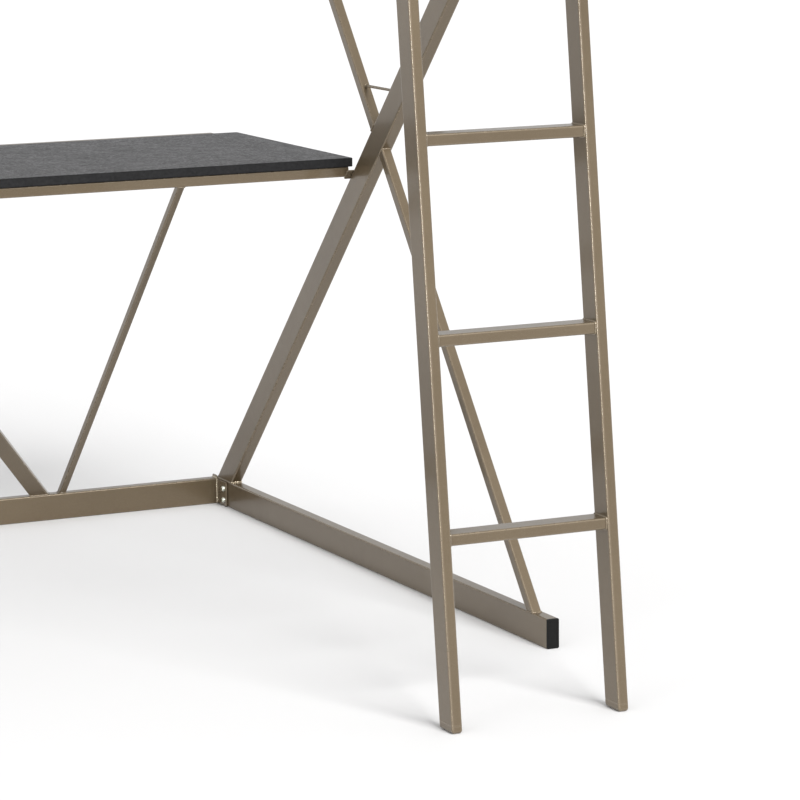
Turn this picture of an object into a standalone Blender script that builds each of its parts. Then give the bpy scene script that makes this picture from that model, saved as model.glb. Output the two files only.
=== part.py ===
"""Loft bed with a desk beneath it: two welded X-shaped end frames, a raised bed deck with guard
hoops, a desk on a slanted truss, and a leaning ladder that hooks over the front side rail.

Units are metres, +Z is up and +X is to the right of someone facing the ladder. Along the depth,
each station is measured from the front ends of the floor skids towards the rear, and at() turns
it into Y. The origin is on the floor, at the middle of the whole footprint.
"""

from math import asin, atan2, cos, hypot, radians, sin, tan

import bmesh
import bpy
from mathutils import Matrix, Vector

# Clearances
GAP = 0.0003  # between two pieces that touch, weld or rest on each other
HOOK_CLEARANCE = 0.001  # hook slot to side rail, front and rear
PLUG_CLEARANCE = 0.0004  # plastic plug to the inside of its tube
BOLT_CLEARANCE = 0.0005  # bolt shank to its hole, on the radius

# Overall sizes
INNER_LENGTH = 1.990  # between the inner faces of the two end frames
SKID_LENGTH = 1.3935  # floor skid with its two end caps
LADDER_REACH = 0.4117  # floor from the skids' front ends forward to the ladder's feet
DECK_RAIL_BOTTOM = 1.553  # underside of the upper rails
DECK_DEPTH = 1.450  # over both side rails
GUARD_HEIGHT = 0.275  # guard hoops above the upper rails

# Main rectangular tube: skids, main diagonals, floor rail, upper rails
MAIN_HIGH = 0.0505
MAIN_THICK = 0.0225
WALL = 0.0015
CORNER = 0.003  # outside corner radius of every tube

# End frame diagonals
MAIN_HEEL = 0.0146  # skid's rear end to the main diagonal's rear edge, on the skid's top
MAIN_HEAD_INSET = 0.003  # front side rail to the main diagonal's front edge, under the end rail
COUNTER_SIZE = 0.0181  # square tube
COUNTER_TOE = 0.0522  # skid's front end to the counter diagonal's front edge, on the skid's top
COUNTER_HEAD_INSET = 0.0008  # rear side rail to the counter diagonal, under the end rail
ROD_RADIUS = 0.0026
ROD_RISE = 0.0905  # rod above the point where the diagonals cross

# Skid caps, end plates and their bolts
CAP_FLANGE = 0.0025
CAP_PLUG_DEPTH = 0.012
PLATE_THICK = 0.003
PLATE_REACH = 0.0445  # end plate in front of the floor rail
EAR_LENGTH = 0.0155  # ear at the end plate's rear, which stands above the skid
EAR_RISE = 0.005
BOLT_RADIUS = 0.003
BOLT_HEAD_RADIUS = 0.0056
BOLT_HEAD_HIGH = 0.0042
BOLT_LENGTH = 0.012
BOLT_SETBACK = 0.0120  # plate's front edge to the bolts
BOLT_HEIGHTS = {"lower": 0.0125, "upper": 0.0350}

# Desk
DESK_TOP_Z = 0.7394
DESK_THICK = 0.0157
DESK_DEPTH = 0.5200
DESK_OVERHANG = 0.0040  # board in front of the front rail
DESK_SIDE_LAP = 0.0035  # board past the inner face of each end frame
DESK_TUBE = 0.0181  # square tube of the desk's rails
DESK_REAR_RAIL_HIGH = 0.036
DESK_REAR_RAIL_INSET = 0.045  # short of the end frames, at each end
DESK_SIDE_RAIL_INSET = 0.060
TAB_THICK = 0.003  # welded tab on each end of the desk's front rail
TAB_LENGTH = 0.030
TAB_HIGH = 0.022  # along the diagonal it is screwed to
STRUT_SIZE = 0.013
STRUT_INSET = 0.3245  # end frame's inner face to the strut's middle
BRACE_FACE = 0.031
BRACE_INSET = 0.3695  # end frame's inner face to the brace's middle, at the floor rail
BRACE_PARTING = 0.0005  # half the gap between the two braces under the desk's front rail
PROP_SIZE = 0.0181
PROP_X = 0.310

# Deck
LEDGE_WIDE = 0.026
LEDGE_THICK = 0.003
LEDGE_DROP = 0.030  # ledge's top under the side rail's top
STRIP_WIDE = 0.030
STRIP_THICK = 0.003
STRIPS_PER_PANEL = 8
PANEL_END_GAP = 0.012
PANEL_SIDE_GAP = 0.013  # side rail to the strips' ends, which leaves room for the ladder's hooks
RUNNER_INSET = 0.200  # lengthwise strips from the deck's front and rear ends
CENTRE_RAIL_SIZE = 0.022

# Guards
GUARD_TUBE = 0.018
GUARD_BEND = 0.060  # middle line radius of a hoop's corner
GUARD_BAR_Z = 0.140  # guard bar's middle above the upper rails
END_HOOP_INSET = 0.065  # hoop leg's middle from the deck's front and rear faces
LONG_HOOP_INSET = 0.065  # hoop leg's middle from the end frames' inner faces
LADDER_OPENING = 0.420  # clear way beside the ladder's end of the front hoop

# Ladder
LADDER_LEAN = radians(6.80)
STILE_THICK = 0.0176
STILE_DEEP = 0.0444
LADDER_WIDE = 0.3028
LADDER_INSET = 0.0766  # end frame's inner face to the ladder's nearer stile
RUNG_COUNT = 5
RUNG_FIRST = 0.298  # floor to the first rung's top
RUNG_LAST_DROP = 0.116  # last rung's top below the upper rails' tops
RUNG_HIGH = 0.0182
RUNG_DEEP = 0.0392
RUNG_SETBACK = 0.003  # behind the stiles' front faces
FOOT_HIGH = 0.012
FOOT_ROUND = 0.006
STILE_RISE = 0.004  # stiles above the side rail
STILE_CLEARANCE = 0.0008  # stiles' rear faces to the side rail's top front edge
HOOK_THICK = 0.005
HOOK_LEG = 0.009
HOOK_DROP = 0.026  # below the side rail's top, behind it
HOOK_CROWN = 0.010  # above the side rail's top
HOOK_ROOT = 0.060  # plate on the stile, below the side rail's top

# Values that follow from the sizes above
HALF_INNER = INNER_LENGTH / 2
HALF_OUTER = HALF_INNER + MAIN_THICK
FRAME_X = HALF_INNER + MAIN_THICK / 2
DECK_TOP = DECK_RAIL_BOTTOM + MAIN_HIGH
LEDGE_TOP = DECK_TOP - LEDGE_DROP
FLOOR_RAIL_FRONT = SKID_LENGTH - MAIN_THICK - GAP
DESK_RAIL_TOP = DESK_TOP_Z - DESK_THICK - GAP
DESK_RAIL_BOTTOM = DESK_RAIL_TOP - DESK_TUBE


def angle_between(run, rise, width):
    """Steepness of a bar of this width whose opposite edges pass through two points.

    With R the distance between the points and b the steepness of the line through them, the
    bar's angle a solves R * sin(a - b) = width.
    """
    return atan2(rise, run) + asin(width / hypot(run, rise))


def stile_front(z):
    """Station of the ladder stiles' front faces at a height."""
    return -LADDER_REACH + z * tan(LADDER_LEAN)


DECK_FRONT = stile_front(DECK_TOP) + STILE_DEEP / cos(LADDER_LEAN) + STILE_CLEARANCE
DECK_REAR = DECK_FRONT + DECK_DEPTH
RUNG_STEP = (DECK_TOP - RUNG_LAST_DROP - RUNG_FIRST) / (RUNG_COUNT - 1)
RISE = DECK_RAIL_BOTTOM - MAIN_HIGH
MAIN_HEAD = DECK_FRONT + MAIN_THICK + MAIN_HEAD_INSET
MAIN_ANGLE = angle_between(SKID_LENGTH - MAIN_HEEL - MAIN_HEAD, RISE, MAIN_HIGH)
COUNTER_HEAD = DECK_REAR - MAIN_THICK - COUNTER_HEAD_INSET
COUNTER_ANGLE = angle_between(COUNTER_HEAD - COUNTER_TOE, RISE, COUNTER_SIZE)


def main_rear_edge(z):
    """Station of the main diagonal's rear, upper edge at a height."""
    return SKID_LENGTH - MAIN_HEEL - (z - MAIN_HIGH) / tan(MAIN_ANGLE)


def counter_front_edge(z):
    """Station of the counter diagonal's front, upper edge at a height."""
    return COUNTER_TOE + (z - MAIN_HIGH) / tan(COUNTER_ANGLE)


def crossing_height():
    """Height where the two diagonals' middle lines cross."""
    main_half = MAIN_HIGH / 2 / sin(MAIN_ANGLE)
    counter_half = COUNTER_SIZE / 2 / sin(COUNTER_ANGLE)
    apart = main_rear_edge(MAIN_HIGH) - main_half - counter_front_edge(MAIN_HIGH) - counter_half
    return MAIN_HIGH + apart / (1 / tan(MAIN_ANGLE) + 1 / tan(COUNTER_ANGLE))


ROD_Z = crossing_height() + ROD_RISE
DESK_RAIL_FRONT = main_rear_edge(DESK_RAIL_BOTTOM) + GAP
DESK_FRONT = DESK_RAIL_FRONT - DESK_OVERHANG
DESK_REAR = DESK_FRONT + DESK_DEPTH
COUNTER_REAR = counter_front_edge(DESK_TOP_Z) + COUNTER_SIZE / sin(COUNTER_ANGLE)
DESK_HALF = HALF_INNER + (DESK_SIDE_LAP if COUNTER_REAR + GAP <= DESK_FRONT else -GAP)
TRUSS_ANGLE = atan2(DESK_RAIL_BOTTOM - MAIN_HIGH, FLOOR_RAIL_FRONT - DESK_RAIL_FRONT)


def at(station):
    """Y of a station measured from the skids' front ends."""
    return station - (SKID_LENGTH - LADDER_REACH) / 2


def finish(name, colour, roughness, metallic):
    """Principled material for one kind of surface."""
    material = bpy.data.materials.new(name)
    material.use_nodes = True
    shader = material.node_tree.nodes["Principled BSDF"]
    shader.inputs["Base Color"].default_value = (*colour, 1.0)
    shader.inputs["Roughness"].default_value = roughness
    shader.inputs["Metallic"].default_value = metallic
    return material


class Workshop:
    """Adds finished objects, and the cutters that shape them, to the scene."""

    def __init__(self):
        for old in list(bpy.data.objects):
            bpy.data.objects.remove(old, do_unlink=True)
        self.parts = bpy.data.collections.new("loft_bed_with_desk")
        self.cutters = bpy.data.collections.new("cutters")
        for collection in (self.parts, self.cutters):
            bpy.context.scene.collection.children.link(collection)
        self.group = None

    def empty(self, name, location=(0, 0, 0)):
        """Empty that carries one group of pieces; the pieces made next are parented to it."""
        holder = bpy.data.objects.new(name, None)
        holder.location = location
        self.parts.objects.link(holder)
        self.group = holder

    def add(self, name, mesh, material, matrix):
        """Object from a mesh, placed by its matrix and carried by the present group."""
        piece = bpy.data.objects.new(name, mesh)
        mesh.name = name
        mesh.materials.append(material)
        self.parts.objects.link(piece)
        piece.parent = self.group
        origin = Vector(self.group.location) if self.group else Vector()
        piece.location = matrix.to_translation() - origin
        piece.rotation_euler = matrix.to_euler()
        return piece

    def boolean(self, piece, mesh, matrix, operation="DIFFERENCE"):
        """Cuts a hidden shape from the piece, or joins it on."""
        cutter = bpy.data.objects.new(f"{piece.name}_{operation.lower()}", mesh)
        cutter.matrix_world = matrix
        cutter.hide_render = True
        cutter.display_type = "WIRE"
        self.cutters.objects.link(cutter)
        change = piece.modifiers.new(operation.title(), "BOOLEAN")
        change.operation = operation
        change.object = cutter

    def trim(self, piece, point, normal, size=0.40):
        """Cuts off what lies beyond a plane on its normal's side, within reach of the point."""
        facing = Vector(normal).normalized()
        centre = Vector(point) + facing * size / 2
        turn = facing.to_track_quat("Z", "Y").to_matrix().to_4x4()
        self.boolean(piece, box_mesh(size, size, size), Matrix.Translation(centre) @ turn)


    def level_ends(self, piece, middle, low=None, high=None):
        """Cuts the ends level, a gap clear of a face below at low and of one above at high.

        middle gives a point on the piece's middle line near each height.
        """
        for height, way in ((low, -1), (high, 1)):
            if height is not None:
                near = middle(height)
                self.trim(piece, (near.x, near.y, height - way * GAP), (0, 0, way))


def frame_of(centre, along, across):
    """Matrix whose Z runs along the piece and whose X runs across it, at a centre."""
    z = Vector(along).normalized()
    x = (Vector(across) - z * z.dot(Vector(across))).normalized()
    turn = Matrix((x, z.cross(x), z)).transposed().to_4x4()
    return Matrix.Translation(Vector(centre)) @ turn


def mesh_from(bm, name="shape"):
    """Mesh datablock from a finished bmesh."""
    bmesh.ops.recalc_face_normals(bm, faces=bm.faces)
    mesh = bpy.data.meshes.new(name)
    bm.to_mesh(mesh)
    bm.free()
    return mesh


def box_mesh(wide, deep, high, corner=0.0, segments=2):
    """Box on its centre; corner rounds the four edges that run along Z."""
    bm = bmesh.new()
    bmesh.ops.create_cube(bm, size=1.0)
    bmesh.ops.scale(bm, vec=(wide, deep, high), verts=bm.verts)
    if corner:
        upright = [e for e in bm.edges if abs(e.verts[0].co.z - e.verts[1].co.z) > high / 2]
        bmesh.ops.bevel(
            bm, geom=upright, offset=corner, segments=segments, profile=0.5, affect="EDGES"
        )
    return mesh_from(bm)


def tube_mesh(wide, deep, length, corner=CORNER):
    """Open rectangular tube skin on its centre, along Z; Solidify gives it its wall."""
    bm = bmesh.new()
    bm.from_mesh(box_mesh(wide, deep, length, corner))
    ends = [face for face in bm.faces if abs(face.normal.z) > 0.9]
    bmesh.ops.delete(bm, geom=ends, context="FACES_ONLY")
    return mesh_from(bm)


def cylinder_mesh(radius, length, sides=16):
    """Cylinder on its centre, along Z."""
    bm = bmesh.new()
    bmesh.ops.create_cone(
        bm, cap_ends=True, segments=sides, radius1=radius, radius2=radius, depth=length
    )
    return mesh_from(bm)


def hollow(piece):
    """Gives an open tube skin its wall, inwards."""
    wall = piece.modifiers.new("Wall", "SOLIDIFY")
    wall.thickness = WALL
    wall.offset = -1.0
    wall.use_even_offset = True


def bar(shop, name, material, start, end, across, size, spare=0.0):
    """Hollow rectangular tube between two points on its middle line.

    size is (width along across, other width); spare lengthens both ends, for a later trim.
    """
    start, end = Vector(start), Vector(end)
    length = (end - start).length + 2 * spare
    matrix = frame_of((start + end) / 2, end - start, across)
    piece = shop.add(name, tube_mesh(*size, length), material, matrix)
    hollow(piece)
    return piece


def round_path(corners, radius, steps=6):
    """Points of an open path through the corners, with each inner corner an arc."""
    points = [Vector(corners[0])]
    for before, corner, after in zip(corners, corners[1:], corners[2:]):
        corner = Vector(corner)
        back = (Vector(before) - corner).normalized()
        ahead = (Vector(after) - corner).normalized()
        half = back.angle(ahead) / 2
        centre = corner + (back + ahead).normalized() * radius / sin(half)
        first = corner + back * radius / tan(half) - centre
        last = corner + ahead * radius / tan(half) - centre
        for step in range(steps + 1):
            points.append(centre + first.slerp(last, step / steps).normalized() * radius)
    points.append(Vector(corners[-1]))
    return points


def hoop(shop, name, material, corners, across):
    """Square tube bent along a path in one plane; across is that plane's normal.

    The middle line and the section are curves; their surface becomes a mesh that is then given
    its wall, with both ends open.
    """
    half = GUARD_TUBE / 2
    section = bpy.data.curves.new(f"{name}_section", "CURVE")
    outline = round_path(
        [(-half, 0, 0), (-half, -half, 0), (half, -half, 0), (half, half, 0), (-half, half, 0),
         (-half, 0, 0)],
        CORNER,
        steps=2,
    )[:-1]
    ring = section.splines.new("POLY")
    ring.points.add(len(outline) - 1)
    for point, co in zip(ring.points, outline):
        point.co = (*co, 1.0)
    ring.use_cyclic_u = True
    profile = bpy.data.objects.new(f"{name}_section", section)

    normal = Vector(across).normalized()
    lengthwise = Vector((0, 0, 1)).cross(normal)
    plane = Matrix((lengthwise, Vector((0, 0, 1)), normal)).transposed()
    path = bpy.data.curves.new(f"{name}_path", "CURVE")
    path.dimensions = "2D"
    path.bevel_mode = "OBJECT"
    path.bevel_object = profile
    line = path.splines.new("POLY")
    flat = [plane.inverted() @ point for point in round_path(corners, GUARD_BEND)]
    depth = flat[0].z
    line.points.add(len(flat) - 1)
    for point, co in zip(line.points, flat):
        point.co = (co.x, co.y, 0.0, 1.0)
    swept = bpy.data.objects.new(f"{name}_path", path)
    for helper in (profile, swept):
        shop.cutters.objects.link(helper)
    bpy.context.view_layer.update()
    skin = bpy.data.meshes.new_from_object(
        swept.evaluated_get(bpy.context.evaluated_depsgraph_get())
    )
    bm = bmesh.new()
    bm.from_mesh(skin)
    bmesh.ops.remove_doubles(bm, verts=bm.verts, dist=1e-5)
    mesh = mesh_from(bm)
    for helper in (profile, swept):
        bpy.data.objects.remove(helper, do_unlink=True)
    matrix = plane.to_4x4() @ Matrix.Translation((0, 0, depth))
    piece = shop.add(name, mesh, material, matrix)
    hollow(piece)
    return piece


def end_frame(shop, side, word, coat, plastic, zinc):
    """Welded end frame: skid, two diagonals that cross, finger-gap rod, upper rail and caps."""
    x_of = side * FRAME_X
    across = (1, 0, 0)
    main = (MAIN_THICK, MAIN_HIGH)
    shop.empty(f"end_frame_{word}", (x_of, 0, 0))

    skid = bar(
        shop, f"skid_{word}", coat, (x_of, at(CAP_FLANGE + GAP), MAIN_HIGH / 2),
        (x_of, at(SKID_LENGTH - CAP_FLANGE - GAP), MAIN_HIGH / 2), across, main,
    )
    for end, station, inward in (("front", 0.0, 1), ("rear", SKID_LENGTH, -1)):
        flange_y = at(station + inward * CAP_FLANGE / 2)
        cap = shop.add(
            f"skid_cap_{end}_{word}", box_mesh(*main, CAP_FLANGE, CORNER), plastic,
            frame_of((x_of, flange_y, MAIN_HIGH / 2), (0, 1, 0), across),
        )
        lap = 0.0005
        inset = 2 * (WALL + PLUG_CLEARANCE)
        plug_y = at(station + inward * (CAP_FLANGE - lap + CAP_PLUG_DEPTH / 2))
        shop.boolean(
            cap, box_mesh(MAIN_THICK - inset, MAIN_HIGH - inset, CAP_PLUG_DEPTH, CORNER - WALL),
            frame_of((x_of, plug_y, MAIN_HIGH / 2), (0, 1, 0), across), "UNION",
        )

    main_way = Vector((0, -cos(MAIN_ANGLE), sin(MAIN_ANGLE)))
    main_up = Vector((0, sin(MAIN_ANGLE), cos(MAIN_ANGLE)))
    counter_way = Vector((0, cos(COUNTER_ANGLE), sin(COUNTER_ANGLE)))

    def main_middle(z):
        """Point on the main diagonal's middle line whose rear edge is at this height."""
        edge = Vector((x_of, at(main_rear_edge(z)), z))
        return edge - main_up * MAIN_HIGH / 2

    diagonal = bar(
        shop, f"main_diagonal_{word}", coat, main_middle(MAIN_HIGH),
        main_middle(DECK_RAIL_BOTTOM), across, main, spare=0.08,
    )
    shop.level_ends(diagonal, main_middle, MAIN_HIGH, DECK_RAIL_BOTTOM)

    counter_x = side * (HALF_INNER + COUNTER_SIZE / 2)
    counter_down = Vector((0, sin(COUNTER_ANGLE), -cos(COUNTER_ANGLE)))

    def counter_middle(z):
        """Point on the counter diagonal's middle line whose front edge is at this height."""
        edge = Vector((counter_x, at(counter_front_edge(z)), z))
        return edge + counter_down * COUNTER_SIZE / 2

    square = (COUNTER_SIZE, COUNTER_SIZE)
    cross_z = crossing_height()
    face_below = main_middle(cross_z) - main_up * (MAIN_HIGH / 2 + GAP)
    face_above = main_middle(cross_z) + main_up * (MAIN_HIGH / 2 + GAP)
    lower = bar(
        shop, f"counter_diagonal_lower_{word}", coat, counter_middle(MAIN_HIGH),
        counter_middle(cross_z), across, square, spare=0.05,
    )
    shop.level_ends(lower, counter_middle, low=MAIN_HIGH)
    shop.trim(lower, face_below, main_up)
    upper = bar(
        shop, f"counter_diagonal_upper_{word}", coat, counter_middle(cross_z),
        counter_middle(DECK_RAIL_BOTTOM), across, square, spare=0.05,
    )
    shop.trim(upper, face_above, -main_up)
    shop.level_ends(upper, counter_middle, high=DECK_RAIL_BOTTOM)

    rod_front = at(main_rear_edge(ROD_Z - ROD_RADIUS) + GAP)
    rod_rear = at(counter_front_edge(ROD_Z - ROD_RADIUS) - GAP)
    shop.add(
        f"gap_rod_{word}", cylinder_mesh(ROD_RADIUS, rod_rear - rod_front, 12), coat,
        frame_of((counter_x, (rod_front + rod_rear) / 2, ROD_Z), (0, 1, 0), across),
    )

    rail_z = DECK_RAIL_BOTTOM + MAIN_HIGH / 2
    bar(
        shop, f"end_rail_{word}", coat, (x_of, at(DECK_FRONT + MAIN_THICK + GAP), rail_z),
        (x_of, at(DECK_REAR - MAIN_THICK - GAP), rail_z), across, main,
    )

    plate_x = side * (HALF_INNER - GAP - PLATE_THICK / 2)
    plate_front = FLOOR_RAIL_FRONT - PLATE_REACH
    plate = shop.add(
        f"end_plate_{word}",
        box_mesh(PLATE_THICK, SKID_LENGTH - plate_front, MAIN_HIGH - CORNER),
        coat, Matrix.Translation((plate_x, at((SKID_LENGTH + plate_front) / 2), MAIN_HIGH / 2)),
    )
    ear_low = MAIN_HIGH - 3 * CORNER
    ear_high = MAIN_HIGH + EAR_RISE
    shop.boolean(
        plate, box_mesh(PLATE_THICK, EAR_LENGTH, ear_high - ear_low),
        Matrix.Translation(
            (plate_x, at(SKID_LENGTH - EAR_LENGTH / 2), (ear_low + ear_high) / 2)
        ), "UNION",
    )
    for level, height in BOLT_HEIGHTS.items():
        centre = Vector((plate_x, at(plate_front + BOLT_SETBACK), height))
        hole = cylinder_mesh(BOLT_RADIUS + BOLT_CLEARANCE, 0.016)
        for piece in (plate, skid):
            shop.boolean(piece, hole, frame_of(centre, (side, 0, 0), (0, 1, 0)))
        under_head = side * (HALF_INNER - GAP - PLATE_THICK - GAP)
        head_x = under_head - side * BOLT_HEAD_HIGH / 2
        bolt = shop.add(
            f"plate_bolt_{level}_{word}", cylinder_mesh(BOLT_HEAD_RADIUS, BOLT_HEAD_HIGH, 6),
            zinc, frame_of((head_x, centre.y, height), (side, 0, 0), (0, 1, 0)),
        )
        lap = 0.001
        shank_x = under_head + side * (BOLT_LENGTH / 2 - lap)
        shop.boolean(
            bolt, cylinder_mesh(BOLT_RADIUS, BOLT_LENGTH, 12),
            frame_of((shank_x, centre.y, height), (side, 0, 0), (0, 1, 0)), "UNION",
        )

    foot_z = DECK_TOP + GAP
    top_z = DECK_TOP + GUARD_HEIGHT - GUARD_TUBE / 2
    front_y = at(DECK_FRONT + END_HOOP_INSET)
    rear_y = at(DECK_REAR - END_HOOP_INSET)
    hoop(
        shop, f"guard_hoop_{word}", coat,
        [(x_of, front_y, foot_z), (x_of, front_y, top_z), (x_of, rear_y, top_z),
         (x_of, rear_y, foot_z)],
        (1, 0, 0),
    )
    clear = GUARD_TUBE / 2 + GAP
    bar_z = DECK_TOP + GUARD_BAR_Z
    bar(
        shop, f"guard_bar_{word}", coat, (x_of, front_y + clear, bar_z),
        (x_of, rear_y - clear, bar_z), across, (GUARD_TUBE, GUARD_TUBE),
    )


def long_rails(shop, coat):
    """Floor rail at the rear, and the two side rails with their inner ledges."""
    shop.empty("long_rails")
    reach = HALF_INNER - 2 * GAP - PLATE_THICK
    floor_y = at(FLOOR_RAIL_FRONT + MAIN_THICK / 2)
    across = (0, 1, 0)
    main = (MAIN_THICK, MAIN_HIGH)
    bar(
        shop, "floor_rail_rear", coat, (-reach, floor_y, MAIN_HIGH / 2),
        (reach, floor_y, MAIN_HIGH / 2), across, main,
    )
    rail_z = DECK_RAIL_BOTTOM + MAIN_HIGH / 2
    lap = 0.0005
    for word, station, inward in (
        ("front", DECK_FRONT + MAIN_THICK / 2, 1), ("rear", DECK_REAR - MAIN_THICK / 2, -1)
    ):
        rail = bar(
            shop, f"side_rail_{word}", coat, (-HALF_OUTER, at(station), rail_z),
            (HALF_OUTER, at(station), rail_z), across, main,
        )
        ledge_y = at(station + inward * (MAIN_THICK / 2 + LEDGE_WIDE / 2 - lap))
        shop.boolean(
            rail, box_mesh(INNER_LENGTH - 2 * PANEL_END_GAP, LEDGE_WIDE, LEDGE_THICK),
            Matrix.Translation((0, ledge_y, LEDGE_TOP - LEDGE_THICK / 2)), "UNION",
        )


def deck(shop, coat):
    """Two welded panels of flat steel strips on the ledges, and the rail under their middle."""
    shop.empty("deck")
    middle_y = at((DECK_FRONT + DECK_REAR) / 2)
    centre_z = LEDGE_TOP - STRIP_THICK - CENTRE_RAIL_SIZE / 2
    reach = HALF_INNER - GAP
    bar(
        shop, "deck_centre_rail", coat, (-reach, middle_y, centre_z), (reach, middle_y, centre_z),
        (0, 1, 0), (CENTRE_RAIL_SIZE, CENTRE_RAIL_SIZE),
    )
    panel_long = HALF_INNER - 1.5 * PANEL_END_GAP
    strip_deep = DECK_DEPTH - 2 * MAIN_THICK - 2 * PANEL_SIDE_GAP
    pitch = (panel_long - STRIP_WIDE) / (STRIPS_PER_PANEL - 1)
    top_z = LEDGE_TOP + GAP + STRIP_THICK
    lap = 0.0003
    runner_z = top_z - 1.5 * STRIP_THICK + lap
    for side, word in ((-1, "left"), (1, "right")):
        centre_x = side * (PANEL_END_GAP + panel_long) / 2
        first_x = centre_x - (panel_long - STRIP_WIDE) / 2
        panel = shop.add(
            f"deck_panel_{word}", box_mesh(STRIP_WIDE, strip_deep, STRIP_THICK), coat,
            Matrix.Translation((first_x, middle_y, top_z - STRIP_THICK / 2)),
        )
        runners = []
        for station in (DECK_FRONT + RUNNER_INSET, DECK_REAR - RUNNER_INSET):
            runners.append((centre_x, at(station), runner_z))
        for place in runners:
            shop.boolean(
                panel, box_mesh(panel_long, STRIP_WIDE, STRIP_THICK),
                Matrix.Translation(place), "UNION",
            )
        for number in range(1, STRIPS_PER_PANEL):
            place = (first_x + number * pitch, middle_y, top_z - STRIP_THICK / 2)
            shop.boolean(
                panel, box_mesh(STRIP_WIDE, strip_deep, STRIP_THICK),
                Matrix.Translation(place), "UNION",
            )


def long_guards(shop, coat):
    """Front hoop, which stops short for the ladder, and rear hoop, each with its middle bar."""
    shop.empty("long_guards")
    foot_z = DECK_TOP + GAP
    top_z = DECK_TOP + GUARD_HEIGHT - GUARD_TUBE / 2
    bar_z = DECK_TOP + GUARD_BAR_Z
    outer_x = HALF_INNER - LONG_HOOP_INSET
    opening_x = HALF_INNER - LADDER_OPENING - GUARD_TUBE / 2
    clear = GUARD_TUBE / 2 + GAP
    for word, station, right_x in (
        ("front", DECK_FRONT + MAIN_THICK / 2, opening_x),
        ("rear", DECK_REAR - MAIN_THICK / 2, outer_x),
    ):
        y = at(station)
        hoop(
            shop, f"guard_hoop_{word}", coat,
            [(-outer_x, y, foot_z), (-outer_x, y, top_z), (right_x, y, top_z),
             (right_x, y, foot_z)],
            (0, -1, 0),
        )
        bar(
            shop, f"guard_bar_{word}", coat, (-outer_x + clear, y, bar_z),
            (right_x - clear, y, bar_z), (0, 1, 0), (GUARD_TUBE, GUARD_TUBE),
        )


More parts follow.
